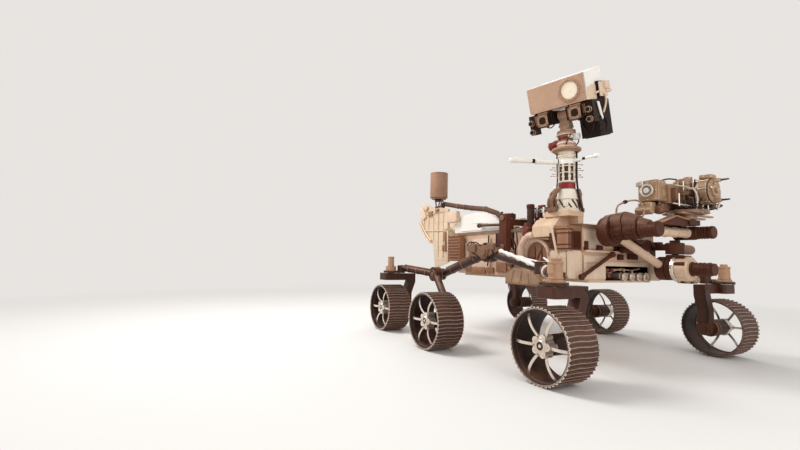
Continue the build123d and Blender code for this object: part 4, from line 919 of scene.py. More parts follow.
piece("hose_clamps", motor_brown, [
    band(place(x, -490, z), unit(*run), -6, 6, 28, 3.5, 28) for x, z, run in (
        (-652, 1472, (259, 0, -47)), (-393, 1425, (236, 0, -35)), (-157, 1390, (200, 0, -60)),
        (-520, 1448, (259, 0, -47)))])

# Right radiator: ribs and bolts
piece("radiator_ribs", arm_brown, [
    *slats(place(-590, -598, 860), (0, 0, 34), 8, ahead_x, up_z, (196, 8, 10)),
    *side_bolts(-590, -597, 970, 200, 276, 5, 4, 2, 4)])

# Corner box: light rounded column, ribs of its drum, the thin slanting post and lower cover
piece("corner_column", panel_cream, [
    side_block(966, -693, 812, (156, 222, 10), 20, 4),
    front_block(1050, -600, 815, (176, 226, 12), 26, 4),
    drum(place(1018, -660, 704), up_z, 222, 34, 6)])
piece("corner_ribs", arm_brown, [
    *[band(place(1000, -650, z), up_z, 0, 9, 62, 4, 40) for z in (934, 968, 1060, 1092)],
    front_block(1053, -600, 1010, (150, 150, 14), 10, 4),
    *slats(place(1062, -652, 1010), (0, 21, 0), 6, left_y, up_z, (8, 130, 8)),
    side_block(925, -696, 1006, (74, 130, 14), 8, 4)])
piece("corner_post", panel_cream, [
    pipe([place(918, -704, 1118), place(948, -706, 990), place(978, -706, 872)], 11, 12),
    side_block(915, -700, 1122, (40, 30, 22), 5, 3),
    side_block(982, -700, 866, (40, 30, 22), 5, 3)])
piece("corner_screws", tube_pale, [
    *side_bolts(966, -698, 812, 132, 198, 4.5, 3.5, 3, 4),
    *front_bolts(1056, -600, 815, 150, 196, 4.5, 3.5, 3, 4),
    *side_bolts(811, -690, 1088, 210, 60, 4, 3, 6, 1)])

# Arch: frame round its mouth, door seams and the fixtures below it
arch_angle = np.linspace(0, pi, 25)
arch_x, arch_z, arch_radius = 700, 884, 132


def on_arch(angle, y):
    """A point of the arch's mouth by its angle from ahead upwards."""
    return place(arch_x + arch_radius * cos(angle), y, arch_z + arch_radius * sin(angle))


piece("arch_bead", panel_cream, [
    pipe([on_arch(a, -651) for a in arch_angle], 7, 10),
    *bolts([on_arch(a, -657) for a in arch_angle[1::3]], down_y, 4.5, 4)])
piece("door_ribs", root_brown, [
    side_block(672, -634, 905, (7, 116, 10), 3, 2),
    side_block(748, -634, 905, (7, 130, 10), 3, 2),
    block(place(710, -634, 880), unit(0.5, 0, 0.86), unit(-0.86, 0, 0.5), (120, 7, 9), 3, 2),
    side_block(640, -636, 862, (60, 26, 14), 4, 3),
    side_block(772, -636, 856, (50, 30, 18), 4, 3)])
piece("duct_bands", panel_cream, [
    *[band(place(548, -681.3, z), up_z, 0, 8, 29, 3, 28) for z in (872, 930)],
    band(place(660, -681.3, 1060), ahead_x, 0, 8, 29, 3, 28)])
piece("duct_root", root_brown, [
    block(place(626, -698, 1096), unit(0.8, 0, -0.6), unit(0.6, 0, 0.8), (34, 92, 26), 8, 5),
    side_block(590, -640, 1146, (34, 60, 60), 8, 4)])

# Skirt: slanting seams, low lip and studs
shapes = []
for low_x, top_x, top_z in ((420, 466, 744), (530, 560, 744), (640, 634, 732)):
    shapes += [pipe([place(low_x, -681, 630), place(top_x, -681, top_z)], 4, 8)]
shapes += [side_block(572, -682, 628, (436, 10, 8), 4, 2)]
shapes += bolts([place(x, -680, 640) for x in np.linspace(372, 770, 12)], down_y, 4, 3)
piece("skirt_seams", box_brown, shapes)

# Front: bay and slot darkened with painted shade, ringed cups, brace, corner wedge and seams
# Near-black plates on the bay's inner faces and in the slot: painted shade
piece("bay_shade_lining", lens_and_shade_dark, [
    front_block(822, 93, 748, (610, 116, 3), 2, 1),
    deck_block(936, 93, 806.6, (226, 610, 2.4), 2, 1),
    side_block(936, -212.6, 748, (226, 116, 2.4), 2, 1),
    side_block(936, 398.6, 748, (226, 116, 2.4), 2, 1),
    deck_block(936, 93, 692, (226, 610, 2.4), 2, 1),
    front_block(1047, -395, 813, (148, 44, 5), 2, 1)])
shapes = []
for tube_y in (21, 132, 235, 331):
    mouth = place(1070, tube_y, 720)
    shapes += [band(mouth, ahead_x, -5, 5, 31, 5, 32), band(mouth - ahead_x * 0.03, ahead_x, -4, 4, 31, 3, 32),
               turned([(-14, 0), (-14, 22), (-8, 23), (-4, 16), (-6, 9), (-2, 6), (-2, 0)], mouth, ahead_x, 24)]
piece("cup_rings", silver_bright, shapes)
piece("bay_valves", root_brown, [
    *[drum(place(1010, y, z), ahead_x, 34, r, 4, 20) for y, z, r in (
        (-180, 770, 18), (-150, 728, 22), (-104, 774, 16))],
    front_block(1000, -130, 750, (110, 10, 40), 3, 2)])
piece("bay_pipes", tube_pale, [
    *[hose([place(1015, y, z) for y, z in run], 24, 7) for run in (
        ((-190, 790), (-60, 770), (60, 786), (180, 774), (330, 790)),
        ((-170, 744), (-90, 756), (-40, 780), (60, 772)))],
    drum(place(1030, 180, 766), ahead_x, 12, 12, 2, 16),
    drum(place(1030, 62, 770), ahead_x, 12, 10, 2, 16)])
brace_run = unit(0, 396, 190)
brace_foot = place(1095, -574, 716)
piece("brace_sleeve", arm_brown, [
    turned([(-14, 0), (-14, 15.5), (452, 15.5), (452, 0)], brace_foot, brace_run, 20),
    drum(place(1080, -574, 716), ahead_x, 32, 24, 5, 24),
    drum(place(1080, -178, 906), ahead_x, 32, 24, 5, 24),
    *bands(brace_foot, brace_run, (30, 400), 14, 15.5, 4, 24)])
wedge = [(408, 684), (560, 684), (500, 838), (408, 838)]
piece("front_covers", panel_cream, [
    slab(wedge, place(1050, 0, 0), left_y, up_z, 26, 6),
    front_block(1054, 93, 826, (640, 34, 10), 6, 3),
    front_block(1053, -355, 1025, (270, 150, 8), 16, 3),
    front_block(1053, -40, 1025, (300, 150, 8), 16, 3)])
piece("front_screws", tube_pale, [
    *front_bolts(1057, -355, 1025, 246, 126, 4.5, 3.5, 4, 2),
    *front_bolts(1057, -40, 1025, 276, 126, 4.5, 3.5, 4, 2),
    *front_bolts(1062, -361, 796, 250, 172, 4.5, 3.5, 5, 3),
    *bolts([place(1059, y, 826) for y in np.linspace(-200, 400, 11)], ahead_x, 4.5, 3.5)])
piece("front_blocks", arm_brown, [
    front_block(1058, y, z, size, 5, 3) for y, z, size in (
        (-300, 960, (70, 34, 30)), (-80, 962, (52, 40, 34)), (150, 900, (120, 60, 40)), (-20, 886, (60, 46, 34)),
        (-470, 968, (36, 80, 30)))])

# Exchangers: coolant tubes, fixtures and the rounded white box at the right panel's front edge
for side, side_name in sides:
    outward = unit(0, side, 0)
    face = side * 545
    shapes = []
    for index in range(5):
        x = -870 - 110 * index
        high = 1450 - 8 * index
        low = 860 + 22 * index if index < 2 else 1070 + 45 * (index - 2)
        shapes += [pipe([place(x, face + side * 4, low), place(x, face + side * 4, high)], 6, 8)]
        shapes += bolts([place(x + 14, face, z) for z in np.linspace(low + 20, high - 20, 6)], outward, 5, 5)
    for z in (1190, 1430):
        shapes += [pipe([place(-850, face + side * 5, z), place(-1330, face + side * 5,
            z + (-20 if z > 1300 else 20))], 6, 8)]
    piece(f"exchanger_tubes_{side_name}", panel_cream, shapes)
    piece(f"exchanger_box_{side_name}", panel_cream, [
        side_block(-690, side * 536, 1344, (214, 134, 58), 30, 12),
        side_block(-800, side * 548, 1240, (70, 80, 26), 14, 6)])
    piece(f"exchanger_fixtures_{side_name}", box_brown, [
        *[side_block(x, face + side * 8, z, size, 6, 4) for x, z, size in (
            (-830, 1120, (50, 110, 20)), (-860, 980, (36, 70, 18)), (-1150, 1420, (90, 60, 24)),
            (-810, 1000, (24, 130, 22)), (-1000, 1446, (60, 40, 30)))],
        *corner_bolts(place(-830, face + side * 18, 1120), ahead_x, up_z, 36, 92, outward, 4, 3, 1, 2)])

for side, side_name in sides:
    rear = [(-1389, 1338), (-1330, 1268), (-1235, 1160), (-1120, 1076)]
    piece(f"exchanger_louvres_{side_name}", panel_cream, [
        *[pipe([place(x - 12 * row, side * (560 + 10 * row), z - 30 * row) for x, z in rear], 11, 10)
            for row in (0, 1)],
        block(place(-1326, side * 556, 1440), unit(0.5, 0, -0.87), unit(0.87, 0, 0.5), (170, 96, 24), 8, 5),
        block(place(-1276, side * 560, 1520), unit(0.86, 0, -0.5), unit(0.5, 0, 0.86), (120, 60, 22), 8, 5)])

# Power unit: end cap bolts, fin tips and its cooling tube
tilt = radians(28)
axis = unit(-cos(tilt), 0, sin(tilt))
power_centre = place(-1115, 0, 1120)
power_half, fin_reach = 0.28, 0.289
power_rise = np.cross(axis, left_y)
for end_sign, label in ((1, "outer"), (-1, "inner")):
    cap = power_centre + axis * end_sign * power_half
    outward = axis * end_sign
    piece(f"power_cap_{label}", fin_grey, [
        turned([(-1, 0), (-1, 128), (5, 130), (9, 122), (9, 60), (14, 52), (14, 0)], cap, outward, 48),
        *bolt_ring(cap + outward * 0.009, outward, 108, 16, 6, 5)])
shapes = []
for index in range(8):
    angle = radians(22.5 + 45 * index)
    out = cos(angle) * left_y + sin(angle) * power_rise
    tip = power_centre + out * fin_reach
    shapes += [pipe([tip - axis * 0.25, tip + axis * 0.25], 8, 8)]
for share in (-0.2, 0.2):
    shapes += [band(power_centre + axis * share, axis, -5, 5, 150, 6, 48)]
piece("power_tubes", tube_pale, shapes)

# Relay antenna: rings, the dark parts at its foot and its cable
relay_foot = place(-1000, -532.5, 1610)
piece("relay_rings", antenna_tan, [
    band(relay_foot, up_z, 0, 9, 110, 1.5, 48),
    band(relay_foot, up_z, 303, 312, 110, 1.5, 48),
    *[band(relay_foot, up_z, z, z + 4, 110, 0.8, 48) for z in (70, 120, 170, 220, 262)]])
piece("relay_foot", canister_dark, [
    *[drum(spot - up_z * 0.02, up_z, 20, 9, 2, 12) for spot in circle_points(relay_foot, up_z, 78, 8)],
    drum(relay_foot - up_z * 0.046, up_z, 30, 52, 5),
    block(relay_foot - up_z * 0.112, ahead_x, left_y, (110, 40, 12), 5, 3),
    hose([place(-950, -532, 1592), place(-900, -534, 1560), place(-905, -530, 1510),
        place(-930, -520, 1478)], 20, 5)])

# Mast: foot, cone slots, red band, posts of the drive, side pins and cables
mast = place(934, -537, 0)
screen_right = unit(0.48, 0.877, 0)


def mast_at(z):
    """A point of the mast's own axis."""
    return mast + up_z * z / 1000


boom_root = mast_at(1680)
tilt_axis = mast_at(2100)

piece("mast_foot_bolts", mast_white, [
    *bolt_ring(mast_at(1264), up_z, 95, 14, 4.5, 6),
    band(mast_at(1362), up_z, -9, 3, 82, 7, 40),
    band(mast_at(1270), up_z, 0, 8, 90, 4, 40),
    block(mast_at(1320) + unit(0.55, -0.83, 0) * 0.088, unit(0.83, 0.55, 0), up_z, (40, 58, 16), 6, 4)])
shapes = []
for index in range(10):
    angle = radians(36 * index + 8)
    twist = 0.55
    low = mast_at(1282) + level(angle) * 0.0905
    high = mast_at(1350) + level(angle - twist) * 0.084
    shapes += [pipe([low, (low + high) / 2 + level(angle - twist / 2) * 0.003, high], 7, 8)]
shapes += [band(mast_at(z), up_z, 0, 7, r, 2.5, 40) for z, r in ((1354, 86), (1442, 68.5), (1500, 57))]
shapes += [turned([(0, 57.2), (0, 58.4), (196, 58.4), (196, 57.2), (0, 57.2)], mast_at(1506), up_z, 36)]
piece("mast_slots", canister_dark, shapes)
piece("mast_red_band", red_accent, [
    turned([(0, 63), (0, 67), (3, 69), (44, 69), (47, 67), (47, 63), (0, 63)], mast_at(1448), up_z, 40)])
shapes = []
for index in range(8):
    angle = radians(45 * index + 14)
    out = level(angle)
    shapes += [drum(mast_at(1500) + out * 0.063, up_z, 196, 8.5, 3, 12)]
    for z in (1548, 1604, 1660):
        shapes += [block(mast_at(z) + out * 0.066, np.array([-out[1], out[0], 0]), up_z, (22, 15, 12), 3, 2)]
shapes += [band(mast_at(z), up_z, 0, h, 58, t, 40) for z, h, t in (
    (1500, 14, 15), (1580, 9, 13), (1636, 9, 13), (1684, 18, 17))]
shapes += [band(mast_at(1720), up_z, 0, 14, 64, 8, 40), band(mast_at(1752), up_z, 0, 14, 64, 6, 40)]
piece("mast_posts", mast_white, shapes)
shapes = []
for z, reach in ((1556, 128), (1574, 112), (1612, 132), (1630, 112), (1662, 128), (1690, 104)):
    for sign in (-1, 1):
        tip = mast_at(z) + screen_right * sign * reach / 1000
        shapes += [pipe([mast_at(z) + screen_right * sign * 0.06, tip], 2.6, 8),
                   drum(tip, screen_right * sign, 9, 5, 1.5, 12)]
for angle in (70, 160, 250, 340):
    out = level(radians(angle))
    shapes += [pipe([mast_at(1595) + out * 0.06, mast_at(1595) + out * 0.112], 2.6, 8)]
piece("mast_pins", turret_grey, shapes)
shapes = []
for angle, reach in ((20, 78), (35, 80), (200, 78)):
    out = level(radians(angle))
    shapes += [hose([mast_at(1254) + out * 0.125, mast_at(1330) + out * 0.106, mast_at(1440) + out * 0.088,
        mast_at(1560) + out * reach / 1000, mast_at(1700) + out * 0.082, mast_at(1772) + out * 0.08], 40, 6)]
piece("mast_cables", cable_black, shapes)
piece("mast_disc", antenna_tan, [
    turned([(0, 0), (0, 116), (3, 118.5), (15, 118.5), (18, 116), (18, 0)], mast_at(1776.5), up_z, 56),
    band(mast_at(1777), up_z, -14, 0, 64, 34, 48)])
piece("mast_slab_cover", shroud_cream, [
    deck_block(905, -545, 1254, (240, 176, 8), 10, 3),
    *corner_bolts(place(905, -545, 1258), ahead_x, left_y, 222, 160, up_z, 5, 5, 4, 3)])
boom = level(radians(-114.7))
shapes = []
for run, start, radius in ((boom, 280, 15), (ahead_x, 160, 8)):
    shapes += [turned([(0, radius), (0, radius + 3), (26, radius + 3), (26, radius), (0, radius)],
                      boom_root + run * start / 1000, run, 24)]
shapes += [band(boom_root, boom, 78, 86, 25, 1.5, 24)]
piece("boom_waists", cable_black, shapes)
piece("boom_rings", mast_white, [
    *[band(boom_root, boom, d, d + 6, r, 2.5, 24) for d, r in (
        (120, 25), (268, 25), (318, 21), (440, 21), (468, 20))],
    *bolt_ring(mast_at(1698), up_z, 68, 10, 4, 5)])

braces = []
for reach, radius in (
    ((-72, -112, -140, -142, -128), 15), ((-88, -128, -108, -104, -96), 10), ((74, 96, 104, 112, 116), 11),
    ((92, 108, 96, 98, 104), 8)):
    for depth in (-0.03, 0.03):
        heights = (1448, 1400, 1352, 1300, 1256)
        braces += [hose([mast_at(z) + screen_right * r / 1000 + depth * unit(0.877, -0.48, 0)
            for r, z in zip(reach, heights)], 24, radius, 12)]
braces += [block(mast_at(1268) + screen_right * s / 1000, screen_right, up_z, (44, 40, 90), 8, 5)
           for s in (-128, 108)]
piece("mast_braces", motor_brown, braces)
piece("boom_tip", cover_white, [
    drum(boom_root + ahead_x * 0.262, ahead_x, 46, 17, 6, 24),
    drum(boom_root + ahead_x * 0.1, ahead_x, 30, 15, 4, 24)])

# Turntable of the head: rings, the red motor and its pale rim, bolts and cables
pan_angle = radians(-78)
head_right = np.array([-sin(pan_angle), cos(pan_angle), 0.0])
head_level = level(pan_angle)
piece("turntable_rings", mast_white, [
    band(mast_at(1799), up_z, 1, 12, 74, 6, 48),
    band(mast_at(1799), up_z, 34, 46, 74, 4, 48),
    *bolt_ring(mast_at(1849), up_z, 62, 12, 4.5, 4),
    band(mast_at(1905), up_z, 2, 8, 78, 2.5, 48),
    band(mast_at(1849), up_z, 20, 30, 46, 5, 36)], "pan")
motor_root = mast_at(1872) - head_right * 0.03
motor_tip = mast_at(1826) - head_right * 0.15
run = unit(*(motor_tip - motor_root))
piece("pan_motor_red", red_accent, [
    drum(motor_root + run * 0.03, run, 92, 39.5, 6),
    band(motor_root, run, 44, 54, 39, 4),
    band(motor_root, run, 92, 104, 39, 4),
    band(mast_at(1870), up_z, 0, 22, 50, 8, 36)], "pan")
rim = [motor_tip - run * 0.012 + 0.047 * (cos(a) * head_level + sin(a) * np.cross(run, head_level))
       for a in np.linspace(0.2, 2 * pi - 0.9, 30)]
piece("pan_motor_rim", cover_white, [
    pipe(rim, 5, 8),
    *[block(mast_at(1884) + head_right * s * 0.062 + head_level * 0.05, head_right, up_z, (30, 26, 24), 5, 3)
        for s in (-1, 1)],
    block(mast_at(1888) + head_right * 0.09, head_right, up_z, (52, 50, 44), 8, 5)], "pan")
piece("pan_cables", cable_black, [
    hose([mast_at(z) + head_right * a / 1000 + head_level * b / 1000 for a, b, z in run_points], 30, 5)
        for run_points in (
        ((70, -20, 1810), (92, -30, 1850), (84, -38, 1900), (54, -40, 1935), (34, -34, 1965)),
        ((-60, -50, 1812), (-80, -56, 1860), (-66, -44, 1915), (-40, -40, 1940), (-26, -34, 1965)),
        ((30, 66, 1815), (54, 74, 1860), (74, 60, 1905)))], "pan")
piece("tilt_drum_rings", head_beige, [
    *[band(tilt_axis, head_right, s * 52 - 3, s * 52 + 3, 44, 4, 36) for s in (-1, 1)],
    *bolt_ring(tilt_axis + head_right * 0.057, head_right, 36, 8, 4, 3)], "pan")

# Camera head
tilt_angle = radians(-17)
head_ahead = head_level * cos(tilt_angle) + up_z * sin(tilt_angle)
head_up = np.cross(head_ahead, head_right)


def head(right_mm, up_mm, ahead_mm):
    """A point of the camera head's own frame: right, up and ahead from the tilt axis, in mm."""
    return tilt_axis + (right_mm * head_right + up_mm * head_up + ahead_mm * head_ahead) / 1000


def head_block(right_mm, up_mm, ahead_mm, size, corner=6.0, edge=3.0):
    """A block of the head, its sizes given to the right, upwards and ahead."""
    return block(head(right_mm, up_mm, ahead_mm), head_right, head_up, size, corner, edge)


def cheek_block(right_mm, up_mm, ahead_mm, size, corner=6.0, edge=3.0):
    """A block on the head's right side, its sizes given ahead, upwards and across."""
    return block(head(right_mm, up_mm, ahead_mm), head_ahead, head_up, size, corner, edge)


window = head(135, 168, 165)
piece("window_ring", antenna_tan, [
    turned([(7, 68.6), (11, 70.5), (12.5, 80), (11, 90), (7.5, 94.6), (6, 94.6), (6, 68.6), (7, 68.6)], window,
        head_ahead, 64)], "head")
piece("window_screws", tube_pale, bolt_ring(window + head_ahead * 0.012, head_ahead, 82, 14, 3,
    2.5), "head")
piece("window_rim", window_pale, [
    turned([(2, 60), (4, 61), (4, 64), (2, 66), (2, 60)], window, head_ahead, 56),
    turned([(2, 0), (3.6, 2), (3.6, 16), (2.5, 18), (2, 18)], window, head_ahead, 32)], "head")
face = [(-225, 68), (247, 68), (247, 264), (-225, 264)]
piece("head_face", head_beige, [
    slab(face, head(0, 0, 0) + head_ahead * 0.1646, head_right, head_up, 2.8, 1.4),
    head_block(11, 63, 166, (486, 9, 6), 3, 2)], "head")
piece("head_screws", motor_brown, [
    *bolts([head(t, w, 167) for t in np.linspace(-215, 237, 9) for w in (76, 256)], head_ahead, 3, 2.2),
    *bolts([head(t, w, 167) for t in (-216, 238) for w in (120, 166, 212)], head_ahead, 3, 2.2)], "head")
side_outline = [(-160, 64), (146, 64), (146, 150), (60, 176), (-160, 196)]
piece("cover_side", panel_cream, [
    slab(side_outline, head(265.6, 0, 0), head_ahead, head_up, 3, 1.5)], "head")
piece("cover_edge", cover_white, [
    pipe([head(-234, 276, 146), head(262, 276, 146)], 5, 8),
    pipe([head(259, 276, 146), head(259, 64, 146)], 4, 8),
    *bolts([head(t, 290, 72) for t in (-200, -60, 80, 220)], head_up, 6, 10)], "head")
frames, lenses, glints = [], [], []
for camera_x in (-131, 153):
    for offset, size in (((-39, 0), (17, 95)), ((39, 0), (17, 95)), ((0, 39), (95, 17)), ((0, -39), (95, 17))):
        frames.append(head_block(camera_x + offset[0], -15 + offset[1], 168, (size[0], size[1], 9), 3, 2))
    frames.append(head_block(camera_x, 44, 128, (86, 22, 60), 4, 3))
    glints.append(head_block(camera_x, -15, 165.5, (62, 62, 3), 3, 1))
    lenses.append(head_block(camera_x, -15, 168, (36, 36, 6), 3, 1))
for lens_x in (-246, 256):
    for lens_y in (-15, -92):
        glints.append(band(head(lens_x, lens_y, 168), head_ahead, -26, -18, 22, 4, 24))
        glints.append(band(head(lens_x, lens_y, 168), head_ahead, -4, 1, 17, 5, 24))
        lenses.append(turned([(-1, 0), (-1, 17), (2, 17), (3.4, 8), (3.8, 0)], head(lens_x, lens_y, 168),
            head_ahead, 24))
piece("camera_frames", antenna_tan, frames, "head")
piece("head_lenses", lens_and_shade_dark, lenses, "head")
piece("lens_rings", motor_tan, glints, "head")
piece("bar_fixtures", motor_brown, [
    *[head_block(t, 0, 132, (w, h, 10), 4, 3) for t, w, h in ((-200, 36, 80), (92, 26, 80), (214, 26, 70))],
    *[head_block(t, -66, 90, (60, 14, 60), 4, 3) for t in (-160, 120)],
    *bolts([head(t, w, 130) for t in (-206, -192, 84, 100, 208, 222) for w in (-44, 36)], head_ahead, 4, 9)], "head")
piece("bar_cables", cable_black, [
    hose([head(*p) for p in run_points], 28, 5) for run_points in (
        ((-170, -58, 80), (-120, -84, 70), (-84, -60, 60), (-70, -20, 40)),
        ((90, -55, 60), (140, -80, 56), (200, -84, 60), (240, -50, 60)),
        ((-240, 54, 90), (-150, 66, 110), (-90, 58, 100)))], "head")

# Rear box of the head: wrapped sides, cream corner piece, hooked cable and the white slanting strip
piece("rear_corner", panel_cream, [
    cheek_block(299, 166, -150, (92, 64, 26), 8, 5),
    cheek_block(290, 122, -190, (110, 26, 24), 6, 4),
    cheek_block(290, 134, -98, (150, 118, 8), 8, 3)], "head")
piece("white_strip", cover_white, [
    slab([(62, 36), (24, 34), (-16, -98), (-4, -112), (30, -70)], head(296.5, 0, 0), head_ahead, head_up, 7,
        2)], "head")
piece("rear_hook", panel_cream, [
    hose([head(*p) for p in (
        (268, 104, 20), (284, 116, -40), (300, 96, -84), (302, 40, -96), (298, -20, -60), (292, -60, -30))], 34, 9,
        10)], "head")
shapes = []
for w in (-200, -150, -100, -50, 0):
    shapes += [head_block(208, w, 51, (140, 12, 9), 4, 3), cheek_block(286.5, w, -70, (220, 10, 6), 4, 3)]
shapes += [block(head(208, -237, -70), head_right, head_ahead, (130, 210, 8), 12, 3)]
shapes += [head_block(208, 30, -195, (120, 60, 14), 8, 4), head_block(208, -110, -195, (130, 160, 12), 10, 4)]
piece("rear_box_ribs", box_black, shapes, "head")
piece("rear_box_cables", cable_black, [
    hose([head(*p) for p in run_points], 28, 6) for run_points in (
        ((150, 40, 56), (170, -30, 62), (150, -110, 60), (180, -190, 60)),
        ((240, 44, 56), (222, -20, 64), (250, -90, 58), (230, -180, 58)),
        ((288, -10, 0), (294, -80, -30), (290, -150, -90), (288, -200, -60)))], "head")
piece("cover_back_panel", panel_cream, [
    head_block(-20, 166, -168, (300, 150, 7), 12, 3),
    *corner_bolts(head(-20, 166, -171), head_right, head_up, 270, 124, -head_ahead, 5, 3, 4, 2)], "head")

# Arm: shoulder housing, elbow discs and motors, their ridges and cables
shoulder = place(1240, 400, 800)
piece("shoulder_dark", arm_brown, [
    turned([(1, 0), (1, 97), (5, 99), (46, 99), (50, 96), (50, 0)], shoulder, ahead_x, 48),
    *bands(shoulder, ahead_x, (6, 22, 38), 7, 98, 4, 48),
    turned([(180, 0), (180, 60), (190, 62), (196, 53), (300, 53), (306, 56), (322, 56), (326, 50), (351, 50),
        (351, 0)], shoulder, ahead_x, 40),
    *bands(shoulder, ahead_x, (214, 244, 272), 8, 53, 4, 36)], "arm_shoulder")
piece("shoulder_ring", silver_bright, [
    turned([(52, 95), (52, 108), (57, 112), (76, 112), (82, 107), (84, 95), (52, 95)], shoulder, ahead_x, 48),
    *bolt_ring(shoulder + ahead_x * 0.062, ahead_x, 112, 16, 6, 16, 0.1),
    band(shoulder, ahead_x, 166, 180, 90, 4, 40)], "arm_shoulder")
piece("shoulder_housing", arm_cream, [
    turned([(84, 96), (84, 104), (90, 109), (166, 109), (176, 105), (183, 98), (183, 0)], shoulder, ahead_x, 10),
    *[block(shoulder + ahead_x * 0.11 + np.array([0, -0.104 * sin(a), 0.104 * cos(a)]), ahead_x, upright(a),
        (54, 30, 9), 5, 3) for a in (0.3, 1.0, 1.7, 2.5)]], "arm_shoulder")
piece("shoulder_boxes", arm_brown, [
    side_block(1340, 460, 858, (90, 50, 30), 8, 5),
    drum(place(1330, 318, 838), ahead_x, 80, 22, 4, 20),
    drum(place(1270, 470, 700), ahead_x, 120, 26, 5, 24)], "arm_shoulder")
cylinder = place(1360, 440, 708)
piece("shoulder_cylinder", scanner_tan, [
    drum(cylinder, left_y, 150, 30, 6, 24),
    band(cylinder, left_y, 12, 24, 30, 5, 24),
    band(cylinder, left_y, 120, 134, 30, 5, 24)], "arm_shoulder")
mount = place(1290, 400, 925)
piece("mount_rings", arm_brown, [
    band(mount, up_z, 4, 14, 72, 1.5, 40),
    band(mount, up_z, 78, 90, 72, 1.5, 40),
    *bolt_ring(place(1290, 400, 1020), up_z, 56, 10, 5, 5),
    drum(place(1290, 400, 1019), up_z, 26, 40, 5),
    deck_block(1120, 424, 1010, (90, 56, 50), 8, 5)])


def ridges(centre, count, reach, size):
    """Blocks that stand round a drum whose axis runs ahead, their distance from the axis in metres."""
    turns = [2 * pi * index / count for index in range(count)]
    return [block(centre + upright(a) * reach, ahead_x, upright(a + pi / 2), size, 3, 2) for a in turns]


upper_disc = place(1159, 400, 800)
elbow = place(1159, -360, 1085)
piece("upper_shoulder_disc", arm_brown, [
    turned([(2, 0), (2, 99), (6, 103), (73, 103), (77, 99), (77, 0)], upper_disc, ahead_x, 48),
    *bolt_ring(upper_disc + ahead_x * 0.077, ahead_x, 80, 12, 5, 3)], "arm_upper")
piece("elbow_drum", arm_brown, [
    turned([(-4, 0), (-4, 112), (0, 117.5), (10, 119), (70, 119), (80, 117.5), (84, 112), (84, 60)], elbow,
        ahead_x, 56),
    *bands(elbow, ahead_x, (16, 50), 7, 118, 3, 56),
    *bolt_ring(elbow + ahead_x * 0.083, ahead_x, 90, 14, 5, 5),
    turned([(80, 66), (80, 76), (86, 79), (98, 79), (104, 68), (170, 68), (176, 74), (181, 74), (181, 64), (80, 66)],
        elbow, ahead_x, 48),
    *ridges(elbow + ahead_x * 0.137, 14, 0.068, (62, 12, 10))], "arm_upper")
piece("elbow_motor", arm_brown, [
    turned([(291, 0), (291, 57), (297, 60), (312, 60), (316, 54), (396, 54), (402, 58), (420, 58), (430, 55),
        (436, 50), (436, 0)], elbow, ahead_x, 44),
    *bands(elbow, ahead_x, (332, 350, 368), 6, 54, 3, 40)], "arm_upper")


def saddle_cover(start, length, base, crowns):
    """A cover over the top of a drum: its radius rises by a cosine from the base at both sides to the crown on top.

    The crown runs in a straight line from the first of crowns at the near end to the second at the far end."""
    half_turn, wall = 1.15, 6
    angle = np.linspace(-half_turn, half_turn, 21)
    ends = np.array([0, 0, 0.03, 0.5, 0.97, 1, 1])
    height = np.array([0, 0.93, 1, 1, 1, 0.93, 0])
    crown = crowns[0] + (crowns[1] - crowns[0]) * ends[:, None]
    bulge = base + (crown - base) * np.cos(angle / half_turn * pi / 2) ** 0.7
    outer = base - wall + (bulge - base + wall) * height[:, None]
    inner = np.full(outer.shape, float(base - wall))
    along = np.broadcast_to(ends[:, None] * length, outer.shape)
    skins = [np.stack([along, r * np.sin(angle), r * np.cos(angle)], -1) / 1000 for r in (outer, inner)]
    return grid(start + np.concatenate([skins[0], skins[1][:, ::-1]], 1))


piece("elbow_cover", elbow_brown, [
    saddle_cover(elbow + ahead_x * 0.030, 56, 118, (134, 140)),
    saddle_cover(elbow + ahead_x * 0.087, 95, 72, (141, 150)),
    saddle_cover(elbow + ahead_x * 0.296, 70, 54, (96, 72))], "arm_upper")
loop = smooth_path([elbow + np.array(p) / 1000 for p in (
    (128, -46, 132), (136, -40, 190), (140, 30, 226), (140, 120, 250), (146, 206, 258), (168, 236, 226),
    (200, 200, 150), (214, 110, 80), (216, 50, 58))], 54)
piece("elbow_cable", turret_grey, [pipe(loop, 7, 10)], "arm_upper")
knob = loop[15]
piece("elbow_cable_knob", cable_black, [
    drum(knob - unit(0, 0.9, 0.3) * 0.016, unit(0, 0.9, 0.3), 32, 15, 6, 16)], "arm_upper")
tube_start, tube_end = place(1199, 400, 800), place(1199, -360, 1085)
along = unit(*(tube_end - tube_start))
span = np.linalg.norm(tube_end - tube_start)
piece("upper_tube_bands", arm_cream, [
    *[band(tube_start + along * d, along, -9, 9, 34, 3.5, 36) for d in (0.3, span - 0.135)],
    *[band(tube_start + along * d, along, -2, 2, 34, 1.5, 36) for d in (0.42, 0.54)]], "arm_upper")
lift = unit(*(up_z - along * along[2]))
share = np.linspace(0.12, span - 0.13, 40)[:, None]
piece("upper_tube_cable", cable_black, [
    pipe(tube_start + share * along + lift * 0.040 - ahead_x * 0.012 + 0.002 * np.sin(share * 60) * lift, 5.5, 8)],
        "arm_upper")

